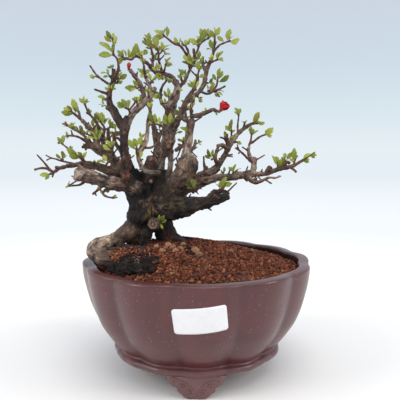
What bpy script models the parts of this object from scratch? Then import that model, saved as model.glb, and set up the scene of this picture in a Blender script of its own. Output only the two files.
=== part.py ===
# Flowering quince bonsai in a clay pot with twelve lobes and three cloud-shaped feet.
# Metres, +Z up. The ground is z = 0, and the origin is under the middle of the whole plant.
# Sizes below are in millimetres, in a frame whose z axis is the pot's own axis.
# A branch point is (across, up, depth, radius): across and up as seen against an upright plane
# through the pot's axis, depth the true distance behind that plane (in front of it if negative).

import math
import random

import bmesh
import bpy
from mathutils import Matrix, Vector, noise
from mathutils.bvhtree import BVHTree

MM = 0.001
POT_AXIS_X = 19.1  # the pot's axis, right of the middle of the whole plant
EYE = Vector((2.9, -455.0, 194.0))  # where the branch points are sighted from
SEAT_GAP = 0.3  # clearance between pieces that touch

# (colour, roughness, metallic) of each material
MATERIALS = {
    "pot clay": ((0.10, 0.055, 0.055), 0.55, 0.0),
    "baked clay grains": ((0.20, 0.07, 0.04), 0.95, 0.0),
    "bark": ((0.07, 0.05, 0.04), 0.85, 0.0),
    "young leaves": ((0.28, 0.36, 0.05), 0.5, 0.0),
    "petals": ((0.65, 0.01, 0.02), 0.5, 0.0),
    "stamens": ((0.85, 0.65, 0.25), 0.6, 0.0),
    "label paper": ((0.85, 0.85, 0.87), 0.6, 0.0),
    "screen plastic": ((0.02, 0.02, 0.02), 0.6, 0.0),
    "clip wire": ((0.45, 0.45, 0.46), 0.35, 0.9),
}

# Pot
LOBES = 12
LOBE_STEPS = 4
FIRST_CREASE_DEG = 20.2
FLOOR_TOP = 26.0
FLANGE_BOTTOM = 18.2
RIM_TOP = 99.0
DRAIN_RADIUS = 13.0
DRAIN_SIDES = 16
CUT_MARGIN = 5.0  # how far a cutter goes past what it cuts
SHARP_DEG = 40.0
# (radius over the lobes, height, depth of the creases), down the outside and up the inside
POT_OUTSIDE = [
    (101.8, 97.8, 3.2),
    (102.4, 94.6, 3.4),
    (101.4, 86.0, 3.8),
    (97.2, 67.0, 4.2),
    (89.6, 48.0, 4.2),
    (80.4, 35.0, 3.8),
    (71.4, 25.2, 3.0),
]
POT_BASE = [
    (74.8, 24.4, 1.2),
    (75.4, 20.0, 1.0),
    (72.4, FLANGE_BOTTOM, 0.6),
    (0.0, FLANGE_BOTTOM, 0.0),
    (0.0, FLOOR_TOP, 0.0),
]
POT_INSIDE = [
    (60.0, FLOOR_TOP, 0.0),
    (77.0, 39.0, 1.6),
    (90.4, 68.0, 2.6),
    (93.8, 87.0, 2.8),
    (92.6, 96.0, 2.6),
    (94.2, RIM_TOP, 2.6),
]

# Feet
FOOT_ANGLES_DEG = (-90.0, 30.0, 150.0)
FOOT_OUTLINE = [
    (5.8, 0.0),
    (7.2, 3.2),
    (9.6, 5.2),
    (10.2, 8.2),
    (14.2, 10.2),
    (15.6, 13.4),
    (20.4, 15.2),
    (23.0, 19.0),
]
FOOT_OUTER_RADIUS = 72.0
FOOT_THICKNESS = 10.0
FOOT_BACK_SHARE = 0.82  # width of a foot's inner face, against its outer face
SOLE_SLOPES = (0.007, 0.003)  # across and inwards, so that each foot stands on one outer corner

# Soil
SOIL_EDGE = 90.5
SOIL_RISE = 23.5
SOIL_PEAK = (-33.0, 8.0)
SOIL_SPREAD = (74.0, 70.0)
SOIL_RINGS = (0.2, 0.4, 0.58, 0.73, 0.87)
SOIL_WALL_GAP = 0.45
SOIL_CORNER = 0.4
SOIL_LIFT = 1.0  # first height of the top over its edge, before it is mounded
GRAIN_RELIEF = 3.2
COARSE_GRAIN = 0.37
FINE_GRAIN = 0.81
ROOT_GAP = 0.39  # clearance of the holes round the roots
SCREEN_POCKET_RADIUS = 21.0
SCREEN_POCKET_TOP = 29.9
SCREEN_POCKET_SIDES = 12

# Drain screen and its clip
SCREEN_SIDE = 28.0
SCREEN_THICKNESS = 1.2
SCREEN_OPENINGS = 3
SCREEN_BAR = 2.0
CLIP_RADIUS = 0.7
CLIP_BEND = 1.0
CLIP_FOOT = 5.0  # reach of the clip's ends under the floor, past the drain hole

# Label
LABEL_SIZE = (41.5, 20.8)
LABEL_CENTRE_DEG = 1.6
LABEL_HEIGHT = 72.5
LABEL_TILT_DEG = 6.6
LABEL_CORNER = 0.72  # how far its corners are drawn in
LABEL_THICKNESS = 0.4
LABEL_GAP = 0.6

# Share of the faces that stay where joins leave slivers
WOOD_SHARE = 0.88
SPRAY_SHARE = 0.82
SOIL_SHARE = 0.86

# Leaves
BLADE_THICKNESS = 0.6
BLADE_WIDTH_SHARE = 0.5
LONG_BLADE = 11.0
SHORT_BLADE = 7.6
# (width shares, places along the length) of the rows of short, middling and long blades
BLADE_ROWS = [
    ((0.0, 1.0, 0.0), (0.0, 0.64, 1.0)),
    ((0.0, 1.0, 0.45), (0.0, 0.64, 1.0)),
    ((0.0, 0.86, 0.9, 0.0), (0.0, 0.48, 0.82, 1.0)),
]
FREE_TRIES = 40
CROSSING_TRIES = 12
SHORTENINGS = (1.0, 0.72)
LEAN_LIMIT = 0.62  # part of a blade's direction that may point to or from the front
TURN_LIMIT = 1.1
ARCH_RANGE = (0.03, 0.12)
FACE_UP = 0.35
LEAST_FLAT_SHARE = 0.75
LEAF_CLEARANCE = 0.35
OWN_CLEARANCE = 0.06
LEAF_SPACING = 1.35  # between the feet of a rosette's leaves along their stem
TIP_MARGIN = 0.6
SPUR_RADIUS = 0.8
ON_STEM_REACH = 2.0

# Radii from which a branch has 8 or 6 sides, and a stem 6, instead of 4
THICK_BRANCH = 8.2
MIDDLING_BRANCH = 1.9
THICK_STEM = 1.65

# How a stem is seated on the wood
SEAT_REACH = 4.0
FLATTEST_SEAT = 0.4
SHORTEST_STRETCH = 0.8
SEAT_LIFTS = 8

# Trunk, roots and the cut stub on the trunk
TRUNK = {
    "left leg": [(-62, 88, 2, 5), (-57, 108, 2, 8), (-55, 124, 1, 10.5), (-50, 140, 0, 12),
                 (-51, 154, 2, 12), (-56, 166, 2, 10.5), (-60, 177, 0, 7.5)],
    "middle leg": [(-50, 90, -4, 4.5), (-48.5, 106, -5, 6), (-48, 119, -4, 6.5), (-44, 132, 0, 9),
                   (-43, 141, 5, 13), (-43, 153, 6, 14), (-44, 166, 5, 12), (-45, 177, 5, 7.5)],
    "right leg": [(-22, 88, 6, 5.5), (-24, 106, 6, 8.6), (-26, 118, 5, 9.6), (-32, 130, 4, 10.2),
                  (-34, 142, 3, 12), (-33, 156, 3, 12.5), (-33, 168, 3, 10), (-32, 179, 4, 6.5)],
    "right root": [(-26, 122, 2, 7), (-17, 115.5, -2, 5), (-9, 109, -5, 3.4), (-3, 102, -7, 2.2)],
    "cut stub": [(-37, 131.5, -2, 6), (-40, 129.7, -21, 5.4)],
}
SURFACE_ROOTS = {
    "looped root": [(-55, 130, 0, 9), (-63, 122.5, -5, 8.2), (-72, 116.5, -11, 7), (-81.5, 113.3, -16, 6),
                    (-90, 111.3, -22, 6.4), (-94, 105.5, -30, 7), (-89, 100, -38, 7.4),
                    (-79.5, 97.5, -44, 7.4), (-69, 95, -48, 7.4), (-57, 92, -52, 7), (-46, 88, -54, 5)],
    "low mat": [(-87, 98.5, -36, 5.4), (-76, 91.5, -43, 6.4), (-64, 88.5, -51, 7.6), (-50, 86.5, -56, 7.6),
                (-38, 84, -58, 5)],
    "middle mat": [(-84, 104, -27, 5), (-72, 101, -35, 7), (-58, 97, -40, 8.4), (-44, 94.5, -42, 7.6),
                   (-35, 91, -42, 4.6)],
    "back mat": [(-72, 107, -18, 5.4), (-60, 103, -25, 7), (-47, 100, -29, 7), (-38, 96, -30, 4.4)],
}
# Large limbs
LIMBS = {
    "left post": [(-58, 166, 0, 8.5), (-61, 178, -3, 7), (-64, 190, -7, 5), (-65, 200, -9, 4.2),
                  (-64.5, 211, -11, 4), (-63, 221, -12, 4.3), (-61, 227, -13, 3.6)],
    "left crown": [(-65, 213, -11, 3.4), (-69.5, 223, -12, 4.2), (-73.5, 231, -13, 4.2),
                   (-77, 238, -14, 3.2), (-77.5, 245, -15, 2.8), (-76, 252, -15, 2.6),
                   (-74, 259, -16, 2.3), (-73.3, 268.5, -17, 2)],
    "left reach": [(-62, 221, -12, 3.8), (-57, 229, -13, 3.6), (-51, 235, -15, 3.4),
                   (-45, 240.5, -17, 3.1), (-40, 246, -19, 2.6), (-36.5, 252.5, -20, 1.9)],
    "centre left": [(-35, 166, 3, 7), (-33.5, 180, 3, 5), (-31.5, 190, 3, 4), (-28.5, 198, 2, 4.2)],
    "centre right": [(-27, 163, 0, 5), (-24.5, 178, -1, 3), (-23.5, 188, 0, 2.8), (-24, 197, 1, 4)],
    "centre post": [(-27, 191, 2, 4.2), (-26, 202, 2, 6.2), (-25, 212, 2, 6), (-24.5, 221, 3, 6),
                    (-24, 230, 6, 5.6), (-22, 238, 8, 5.2), (-18.5, 245, 10, 3.9),
                    (-17.3, 252, 12, 3.1), (-18, 258.5, 14, 2.5)],
    "swollen limb": [(-27, 158, -3, 8), (-19.5, 168, -10, 7.5), (-12.5, 175, -14, 8.5), (-8.5, 182, -16, 10),
                     (-8.5, 188, -16, 8.3), (-9, 193.5, -15, 5.2), (-7.8, 200, -14, 4), (-6, 207, -14, 2.9),
                     (-5.3, 213, -14, 2.6), (-4.5, 219, -15, 3), (-4.5, 225, -16, 2.6)],
    "wound lip": [(-7, 178, -17, 6), (-2.2, 184.5, -18, 4.6)],
    "low right": [(-34, 148, -2, 12), (-22, 145, -8, 11), (-11, 146, -12, 9.8), (0, 147.5, -15, 7.4),
                  (9, 149.5, -18, 6), (18, 152.5, -21, 5), (25, 154.5, -23, 4.2), (29.5, 155.5, -24, 2.8)],
    "long right": [(-26, 154, 2, 8), (-10, 163, 5, 6.5), (0, 166.3, 7, 5), (10, 169.8, 8, 4.2),
                   (20, 172.3, 8, 3.6), (30, 172.8, 7, 3.9), (39, 174, 5, 3.7), (47, 175.5, 3, 4),
                   (54, 175.3, 1, 2.8), (61, 175.5, 0, 2.3), (68, 177.7, -2, 2.6)],
    "upright right": [(-14, 164, 8, 5), (2, 172.5, 13, 4.8), (12, 177, 17, 4.4), (18, 181.5, 20, 3.7),
                      (22, 187, 23, 3), (25.5, 193, 26, 2.8), (28.3, 199, 29, 3), (31.5, 205, 32, 2.8),
                      (36, 210.5, 35, 2.4)],
    "broken limb": [(-52, 160, -4, 8), (-62, 165.5, -9, 6.8), (-72, 166.5, -13, 6.3), (-82, 168.5, -17, 6.3),
                    (-92, 171.5, -21, 6.6), (-102, 174, -24, 6.6), (-110, 176, -26, 6)],
    "left long": [(-60, 168, 0, 6), (-72, 176, -3, 5.2), (-84, 180.5, -5, 4.4), (-93, 183, -7, 3.8),
                  (-101, 184, -8, 3.3), (-109, 183.6, -10, 2.7), (-117, 182.4, -11, 2.1)],
    "left high": [(-60, 172, 4, 6), (-72, 186, 9, 4.8), (-80, 192, 13, 4.2), (-88, 196.5, 17, 3.8),
                  (-94, 201, 20, 3.3), (-98, 206, 23, 2.5)],
    "left high rise": [(-88, 197, 17, 3), (-90.5, 206, 22, 2.8), (-93.5, 213, 26, 2.6),
                       (-98, 219, 29, 2.4), (-102.5, 223.5, 31, 2)],
    "back post": [(-38, 164, 12, 8), (-37, 180, 26, 5.4), (-35, 196, 37, 4.2), (-37, 212, 45, 3.1),
                  (-41, 228, 51, 2.3)],
    "back right": [(-28, 162, 14, 7), (-18, 175, 30, 5), (-12, 188, 42, 3.8), (-9, 202, 51, 2.9),
                   (-8, 216, 57, 2.2)],
    "back left": [(-50, 164, 12, 7), (-62, 177, 28, 5), (-74, 186, 42, 3.8), (-84, 195, 52, 2.8),
                  (-90, 205, 59, 2.1)],
    "back low right": [(-25, 158, 14, 7), (-6, 164, 32, 5), (8, 168, 46, 3.6), (20, 171.5, 57, 2.6)],
    "back low left": [(-52, 158, 10, 6), (-70, 166, 28, 4.4), (-84, 172, 44, 3.2), (-95, 178, 56, 2.2)],
    "front shoot": [(-60, 164, -6, 5), (-65, 177, -24, 3.4), (-66.5, 187, -34, 2.4), (-65, 191, -38, 2)],
}
# Thin branches, bare twigs and stubs
TWIGS = {
    "left crown rise": [(-73, 257, -15, 1.8), (-71, 263, -18, 1.6), (-69, 268, -21, 1.5),
                        (-69.5, 275, -22, 1.2)],
    "left crown whip": [(-76, 254, -15, 1.4), (-82, 257.5, -13, 1.2), (-87, 261.5, -11, 1.1),
                        (-91, 266, -9, 1), (-94.5, 271.5, -8, 0.9)],
    "left crown finger": [(-77.5, 246.5, -15, 1.7), (-84, 248, -18, 1.3), (-91, 250.7, -20, 1)],
    "left crown spur": [(-73.5, 258, -16, 1.5), (-77.3, 262.5, -18, 1.2)],
    "left post spur": [(-76, 231.5, -14, 2), (-81, 235, -16, 1.4)],
    "reach back": [(-46, 240, -16, 2.6), (-47.5, 248, -14, 2.4), (-50, 255, -12, 2.3),
                   (-54.5, 261, -10, 2.2), (-57.5, 266, -9, 1.7), (-58.8, 268.3, -9, 1.4)],
    "reach pale": [(-38.5, 248.5, -20, 2.2), (-42, 254, -24, 2), (-45, 260, -27, 1.7)],
    "front arc": [(-34, 176, -4, 3.4), (-40, 176.5, -13, 2.6), (-46, 178.5, -19, 2.5),
                  (-50.5, 184, -24, 2.4), (-52.5, 191, -26, 2.3), (-49.5, 197, -25, 2.4),
                  (-46, 203, -24, 2.4), (-44.2, 212, -24, 2.1), (-43.8, 221, -25, 1.8)],
    "arc twig": [(-47, 199, -25, 1.5), (-40.5, 199.3, -28, 1.2), (-34.5, 204, -30, 0.9)],
    "centre fork right": [(-21, 216, 0, 4), (-17, 223, -3, 3.3), (-13.5, 230, -6, 3), (-10.5, 237, -9, 2.7),
                          (-7, 244, -11, 2.5), (-3, 250, -12, 2.2), (0, 257, -13, 1.9), (1, 264, -14, 1.5)],
    "right crown": [(-10, 238, -9, 2.4), (-4, 243.5, -4, 2.2), (2, 248, 2, 2.3), (6, 254, 6, 2.3),
                    (7.5, 261, 8, 2.3), (9, 268, 10, 2.1), (11.5, 273.5, 11, 1.9), (14, 279, 11, 1.6)],
    "right crown inner": [(8, 266, 10, 1.8), (5.5, 272, 12, 1.5), (5.5, 279, 13, 1.1)],
    "crown bridge": [(-18.5, 256, 13, 2.4), (-22, 261.5, 13, 2.2), (-29, 264, 11, 2.1), (-35, 264, 9, 1.9),
                     (-39, 268, 8, 1.8), (-43, 272.5, 6, 1.8), (-48, 276.5, 4, 1.7)],
    "crown left rise": [(-39, 267, 8, 1.7), (-39, 275, 8, 1.4), (-38.5, 281, 8, 1.2)],
    "crown middle rise": [(-29, 263, 11, 1.7), (-32, 270, 9, 1.5), (-34, 278, 8, 1.2)],
    "peak stem": [(-17, 250, 12, 2), (-10.5, 258.5, 16, 1.6), (-7.5, 264.5, 18, 1.5), (-6.3, 269, 19, 1.4),
                  (-7.2, 275, 20, 1.3)],
    "peak stub": [(-6.3, 268, 19, 1.5), (-2.3, 274, 18, 1.4), (-2.3, 280, 18, 1.3), (-2.8, 286, 18, 1.3)],
    "low right knob": [(10, 152, -18, 4), (15, 158, -19, 3.2), (17, 161, -19, 2.4)],
    "low right fork": [(14, 156, -18, 3), (21, 160, -16, 2.6), (27, 158.5, -15, 2), (29, 157, -14, 1.6)],
    "swollen link": [(-8, 200, -14, 2.6), (-13, 200.5, -9, 2.2), (-19, 196.5, -2, 2)],
    "swollen fork": [(-5, 221.5, -16, 2.4), (-9.5, 223, -12, 2.2), (-14.5, 226.5, -7, 2)],
    "long right low": [(46, 173, 2, 2.8), (50.5, 168.8, -3, 2.4), (55, 168, -7, 2), (60, 170, -10, 1.6),
                       (65, 172.3, -12, 1.3), (71, 172, -13, 1.1), (76, 173.8, -14, 0.9)],
    "long right knob": [(63, 177, -1, 2.4), (65.5, 180.5, 0, 3.2), (64, 182, 1, 2.2)],
    "riser": [(49, 175, 3, 3.4), (51.3, 181, 5, 2.9), (51.6, 187, 7, 2.6), (52.3, 190.6, 8, 2)],
    "riser whip": [(48.7, 186.5, 6, 1.5), (43, 192.3, 2, 1.2), (38.5, 196.3, -1, 1.1), (34.3, 199, -3, 1)],
    "riser arm": [(51, 184.5, 6, 2.2), (48, 190.5, 9, 1.9), (46.3, 196, 11, 1.6), (47.2, 201, 13, 1.4)],
    "upright side": [(28.5, 200, 29, 2.2), (27.3, 206, 27, 1.6), (27, 211.5, 26, 1.3)],
    "upright hook": [(27.5, 202.5, 28, 1.3), (24.5, 207, 26, 1.1), (20.5, 208.5, 24, 0.9)],
    "upright left": [(27.5, 198, 28, 2.4), (22.5, 201.3, 25, 2), (18, 200.5, 22, 1.6)],
    "upright inner": [(20, 183, 20, 2.4), (16.5, 189, 17, 2), (17.5, 195, 18, 1.8), (19.5, 200.5, 22, 1.5)],
    "upright stub": [(26, 191.5, 26, 1.3), (32.3, 193.2, 24, 0.9)],
    "inner right": [(8, 176, 15, 1.9), (6.5, 185, 13, 1.2), (6.2, 191.5, 12, 1)],
    "broken limb twig": [(-100, 169, -24, 1.6), (-105, 165.8, -25, 1.2)],
    "broken limb drop": [(-85, 165, -18, 2), (-90, 160.5, -19, 1.5), (-94.5, 157, -20, 1.1)],
    "left high knob": [(-95, 201, 20, 2.6), (-100, 200.5, 20, 2.2), (-103, 199, 20, 1.2)],
    "left high flat": [(-97, 203.6, 21, 1.8), (-104, 207.6, 17, 1.3), (-111, 209.8, 14, 1.2),
                       (-118, 209.3, 12, 0.9)],
    "left high middle": [(-83, 194, 14, 2.8), (-84, 204, 8, 2.4), (-85, 212, 3, 1.9)],
    "left inner": [(-73, 187, 8, 3.2), (-77.5, 198, 4, 2.4), (-79, 208, 1, 2), (-79, 217, -2, 1.5)],
    "left post inner": [(-64, 192, -7, 2.6), (-70.5, 199, -9, 2), (-74, 207, -11, 1.6),
                        (-75.3, 213, -12, 1.2)],
    "back post fork": [(-36, 206, 42, 2.4), (-28, 218, 50, 1.8), (-24, 231, 55, 1.4)],
    "back right fork": [(-11, 193, 45, 2.4), (-3, 199, 54, 1.8), (-1, 206, 60, 1.3)],
    "back left fork": [(-78, 189, 46, 2.2), (-75, 202, 55, 1.7), (-72, 214, 60, 1.3)],
    "front shoot fork": [(-65.7, 181, -28, 2), (-61.5, 188, -34, 1.5), (-59.8, 193, -37, 1.2)],
}
HOLLOW_END = [(-101, 173.6, -24, 0.6), (-108, 175.6, -25.6, 3.4), (-115, 177.4, -27.4, 4.6)]

# Each spray has stems, of which the first leaves the wood, and rosettes: (across, up, depth, leaves).
# A leaf is (angle in the upright plane, length).
SPRAYS = {
    "spray_left_tip": (
        [[(-115, 182.8, -11, 1.5), (-118.5, 182, -11, 2), (-124, 180.3, -12, 1.9), (-129, 177.5, -13, 1.7),
          (-134, 180, -13, 1.4), (-140, 180.8, -12, 1.2), (-146, 179.3, -11, 1.1)],
         [(-131, 178.3, -13, 1.3), (-136, 184, -15, 1), (-140, 189, -17, 0.9), (-143.5, 192.8, -18, 0.8)],
         [(-123.5, 180.7, -12, 1.7), (-127.5, 181.9, -13, 1.4)],
         [(-128.5, 177.5, -13, 1.1), (-130.2, 172.6, -12, 0.9)]],
        [(-131.5, 175.6, -15, (185, 9))]),
    "spray_left_low": (
        [[(-108, 183.8, -9, 1.2), (-114.5, 185.6, -5, 1.1), (-120.5, 187, -3, 1), (-126, 188.6, -2, 0.9),
          (-131, 189.9, -1, 0.8), (-135.5, 192.5, 0, 0.7)],
         [(-130.5, 189.8, -1, 0.8), (-134.8, 187.9, 1, 0.7)]],
        [(-121, 188.5, -3, (92, 9))]),
    "spray_left_arc": (
        [[(-98, 184, -8, 1.5), (-104, 189.5, -3, 1.3), (-110, 193.6, 0, 1.2), (-115, 198, 2, 1),
          (-120, 202, 3, 0.9)]],
        [(-103.5, 190, -4, (140, 12), (165, 9), (105, 9), (62, 8)),
         (-112.5, 196.5, 1, (100, 5)),
         (-120.5, 202.6, 3, (95, 9))]),
    "spray_low_bud": (
        [[(-103, 166.8, -24.6, 1.1), (-107, 165.4, -25, 1.1), (-114, 164.8, -26, 0.9)]],
        [(-115, 164.9, -26, (150, 5))]),
    "spray_under": (
        [[(-79, 164, -14, 1.6), (-84.5, 158.6, -20, 1.3), (-81.5, 155.2, -22, 1.1), (-76, 153.8, -23, 0.9)]],
        [(-75.8, 154, -23, (35, 6)),
         (-87.5, 161.5, -23, (115, 5))]),
    "spray_left_dark": (
        [[(-86, 181, -5, 1.4), (-81, 184.5, -13, 1), (-77, 192, -18, 0.9), (-75.5, 198, -20, 0.8)]],
        [(-80.5, 185, -14, (160, 9), (122, 8)),
         (-75.8, 199, -20, (150, 10), (118, 9))]),
    "spray_left_bright": (
        [[(-84.5, 207, 6, 1.3), (-87, 206, -4, 1.1), (-88.5, 206, -9, 0.9)]],
        [(-88.5, 205.5, -9, (135, 12), (108, 11), (165, 9), (85, 9))]),
    "spray_left_high_tip": (
        [[(-96.5, 204, 22, 1.6), (-99, 207.8, 23.5, 1.7), (-103, 211.5, 26, 1.6), (-109, 215, 28, 1.4),
          (-115, 218.8, 30, 1.2), (-117.5, 222, 31, 1)]],
        [(-104, 212.5, 26, (135, 9), (98, 8)),
         (-110.5, 216.5, 28, (110, 7)),
         (-116.5, 219, 30, (170, 5))]),
    "spray_left_crown_tip": (
        [[(-101.5, 222.6, 30.5, 1.5), (-103.6, 224.6, 31.6, 1.7), (-107, 227.4, 33, 1.5),
          (-111, 230.4, 34, 1.2)],
         [(-103.8, 225, 31.6, 1.4), (-104.8, 230, 32, 1.3)]],
        [(-111.6, 231, 34, (172, 13), (150, 11), (96, 15), (125, 9)),
         (-105, 230.8, 32, (118, 8))]),
    "spray_left_crown_in": (
        [[(-85.5, 210, 4, 1.6), (-88.5, 219, -3, 1.5), (-93.5, 226.5, -6, 1.3), (-98.5, 230.5, -8, 1)],
         [(-95.5, 228, -7, 1.2), (-97.7, 232.5, -8, 1.1), (-99.3, 237, -9, 0.9)]],
        [(-99.5, 237.3, -9, (96, 8)),
         (-95, 228.6, -7, (95, 6))]),
    "spray_left_mid": (
        [[(-84, 206, 6, 1.5), (-82.5, 216, 10, 1.3), (-85.5, 221.5, 12, 1)],
         [(-82.8, 214.5, 9, 1.1), (-78, 217, 13, 0.9)]],
        [(-86, 222, 12, (115, 13), (94, 12), (68, 10), (140, 9)),
         (-83.5, 215, 10, (150, 8)),
         (-77.4, 217.3, 13, (50, 8), (22, 8))]),
    "spray_left_post": (
        [[(-77.5, 246, -15, 1.2), (-78.4, 245, -20, 1.1), (-80.4, 242, -21, 0.9)],
         [(-78.4, 245.2, -20, 1), (-76.2, 249.5, -22, 0.9)]],
        [(-80.6, 241.8, -21, (165, 7)),
         (-76, 250.2, -22, (150, 7))]),
    "spray_left_post_in": (
        [[(-74.4, 255.5, -15.5, 1.2), (-70.6, 256.4, -12, 1), (-69.6, 259.4, -11, 0.8)]],
        [(-70.4, 256.2, -12, (18, 5)),
         (-69.6, 260, -11, (22, 9))]),
    "spray_top_left": (
        [[(-69.3, 273.6, -21.8, 1.1), (-70.4, 277.6, -22, 1.1), (-73.2, 281, -22, 1), (-73, 287, -21, 0.9),
          (-73.6, 293, -20, 0.8)]],
        [(-73.6, 281, -22, (137, 15), (182, 12), (95, 10)),
         (-73.2, 288, -21, (70, 8)),
         (-73.8, 293.8, -20, (124, 9), (150, 8))]),
    "spray_top_left_in": (
        [[(-47.5, 276, 4, 1.4), (-53.4, 279.2, 2, 1.2), (-57.5, 276.4, -1, 1.1), (-62, 277, -3, 1),
          (-65.5, 278.6, -4, 0.9)]],
        [(-61.5, 277.4, -3, (58, 15), (84, 10), (118, 9), (100, 8)),
         (-65.8, 278.8, -4, (128, 7)),
         (-64, 276.6, -3.6, (218, 8))]),
    "spray_crown_left": (
        [[(-47.5, 276.4, 4, 1), (-48.8, 279.6, 6, 0.8)]],
        [(-48.8, 279.6, 6, (120, 12), (94, 10), (142, 8))]),
    "spray_crown_left_rise": (
        [[(-38.5, 280, 8, 1), (-39.6, 284.6, 8, 1), (-41.4, 288.4, 9, 0.9), (-42.2, 291.6, 10, 0.8)]],
        [(-42.4, 292, 10, (115, 8), (88, 8)),
         (-40, 285.4, 8, (132, 12), (98, 9))]),
    "spray_crown_middle": (
        [[(-34, 277, 8, 1.1), (-33.8, 281, 7, 1), (-34.6, 285, 6, 0.9)],
         [(-33.6, 280.8, 7, 0.9), (-30.6, 283.6, 5, 0.8)]],
        [(-34.6, 285.4, 6, (102, 14), (76, 9), (124, 8)),
         (-30.4, 283.9, 5, (42, 11), (70, 9))]),
    "spray_peak_left": (
        [[(-7, 273.5, 19.8, 1.1), (-8.2, 278.6, 19.5, 1.2), (-10.8, 283.6, 18, 1.2), (-15, 288.3, 16, 1.2),
          (-20.5, 290.3, 14, 1.1), (-25, 294, 12, 1), (-28.6, 296.8, 11, 0.8)],
         [(-8.2, 278.8, 19.5, 1.2), (-7.4, 283, 21, 1.2), (-9.6, 287.6, 21.5, 1.1)]],
        [(-29, 297.2, 11, (150, 10), (172, 11), (86, 9)),
         (-16, 290, 16, (116, 8)),
         (-9.8, 288, 21.5, (130, 8))]),
    "spray_crown_bridge": (
        [[(-29.5, 264, 11, 1.2), (-28.4, 268, 7, 1), (-27.6, 271.4, 5, 0.8)],
         [(-28.8, 266.6, 8, 1), (-34.5, 266.2, 3, 0.8)]],
        [(-27.5, 271.8, 5, (62, 9), (30, 10)),
         (-35, 266.2, 3, (112, 8), (150, 8))]),
    "spray_reach_pale": (
        [[(-44, 258, -26, 1.3), (-45.6, 261.6, -27.5, 1.5), (-46.3, 267.5, -29, 1.3), (-47, 273, -30, 1)],
         [(-45.5, 262.4, -27.6, 1.1), (-42.4, 260.6, -30, 1), (-39.6, 257.4, -32, 0.8)]],
        [(-45.8, 262.5, -28, (100, 9), (132, 8)),
         (-39.2, 257, -32, (112, 7)),
         (-47, 273.3, -30, (120, 5))]),
    "spray_reach_low": (
        [[(-49.3, 253, -12.4, 1.2), (-52.2, 251.6, -16, 0.9)]],
        [(-52.4, 251.6, -16, (165, 10), (140, 8), (181, 11))]),
    "spray_reach_base": (
        [[(-58.5, 227, -13, 1.5), (-60.4, 232.6, -17, 1.2), (-63, 234, -19, 0.9)],
         [(-60.2, 232.2, -17, 1.1), (-56.6, 236.4, -20, 1), (-54.6, 239.4, -21, 0.8)]],
        [(-63.2, 234.2, -19, (150, 9), (120, 10), (100, 10)),
         (-54.4, 239.8, -21, (95, 5))]),
    "spray_arc_front": (
        [[(-52.4, 190, -26, 1.2), (-54.2, 195, -31, 1), (-54, 198, -32, 0.8)],
         [(-54.1, 195.6, -31, 0.9), (-50.4, 199.8, -34, 0.8)],
         [(-53.6, 194, -30.6, 0.9), (-50.4, 188.4, -34, 0.7)]],
        [(-54, 198.4, -32, (124, 11), (104, 10)),
         (-50.2, 200.2, -34, (84, 9)),
         (-50.3, 188.2, -34, (85, 7))]),
    "spray_arc_top": (
        [[(-44, 219, -24.8, 1.2), (-43.6, 223, -25.2, 1.6), (-42, 230, -26, 1.4), (-40.6, 236, -26, 1.1)],
         [(-43.2, 225.4, -25.6, 1.1), (-38.4, 221, -28.4, 1), (-33.6, 219.4, -30, 0.8)]],
        [(-41, 234, -26, (70, 6)),
         (-38.2, 220.4, -28, (112, 8), (88, 8)),
         (-33, 218.8, -30, (122, 8))]),
    "spray_centre": (
        [[(-25, 217, 0, 1.2), (-25, 218.6, -7, 0.9)]],
        [(-25, 218.8, -7, (112, 11), (80, 11), (55, 9))]),
    "spray_link": (
        [[(-12.4, 200.5, -9, 1.1), (-12.2, 204, -12, 0.8)]],
        [(-12.2, 204.2, -12, (118, 7))]),
    "spray_centre_left": (
        [[(-25, 232, 6, 1.6), (-31, 238.5, 14, 1.9), (-32.4, 246, 18, 1.6), (-30.6, 253, 21, 1.4),
          (-27.6, 257, 22, 1)]],
        [(-32.4, 243, 16, (132, 8), (162, 8)),
         (-27.2, 257.4, 22, (60, 7))]),
    "spray_peak_stem": (
        [[(-12.6, 256, 15, 1.2), (-13.6, 260, 12, 1), (-13.6, 263, 11, 0.8)]],
        [(-13.8, 259, 12, (104, 7)),
         (-13.4, 263.4, 11, (80, 9))]),
    "spray_right_low_crown": (
        [[(-3.6, 249, -12, 1.2), (-3, 250.2, -17, 1), (-2.4, 252, -19, 0.8)]],
        [(-2.4, 251.4, -19, (112, 9), (84, 9))]),
    "spray_right_crown_tip": (
        [[(0.9, 262.6, -13.8, 1), (1.8, 266.4, -14, 0.9)]],
        [(1.9, 266.6, -14, (95, 8))]),
    "spray_swollen_top": (
        [[(-4.5, 223, -15.6, 1.5), (-4.9, 228, -17, 1.7), (-5, 236, -20, 1.5), (-3.6, 241, -21, 1.2)],
         [(-4.8, 227, -17, 1.7), (1.5, 228, -19.4, 1.9), (7, 229.6, -21, 1.7), (12.5, 231.8, -23, 1.5),
          (15.6, 233.3, -24.3, 1.2)]],
        [(-4, 231.5, -19, (118, 6)),
         (-2.6, 240.6, -21, (62, 6)),
         (8.4, 230.6, -21.6, (120, 6)),
         (16, 231.4, -24.2, (-20, 5))]),
    "spray_right_crown_out": (
        [[(3, 249, 3, 1.1), (8.6, 246.6, 0, 1.2), (14, 248.2, -2, 1.2), (19.6, 250.6, -4, 1.1),
          (25.5, 253.4, -6, 0.9)],
         [(14.4, 248.8, -2, 1.1), (17.6, 254, 2, 1.1), (18.8, 260.4, 4, 0.9)]],
        [(18.9, 261, 4, (82, 9), (124, 11), (58, 8), (28, 12)),
         (10.6, 249.2, -1, (62, 8)),
         (16.8, 248.6, -3, (2, 8))]),
    "spray_right_crown_side": (
        [[(11, 273, 11, 1.1), (14.6, 274.8, 8, 1), (17.6, 276, 6, 0.8)]],
        [(18, 276.2, 6, (52, 9)),
         (14, 274.6, 8, (100, 7))]),
    "spray_right_crown_top": (
        [[(13.4, 277.6, 11, 1.2), (14.8, 282.4, 11, 1.4), (15.6, 288, 11, 1.3), (16, 297, 11, 1)],
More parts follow.
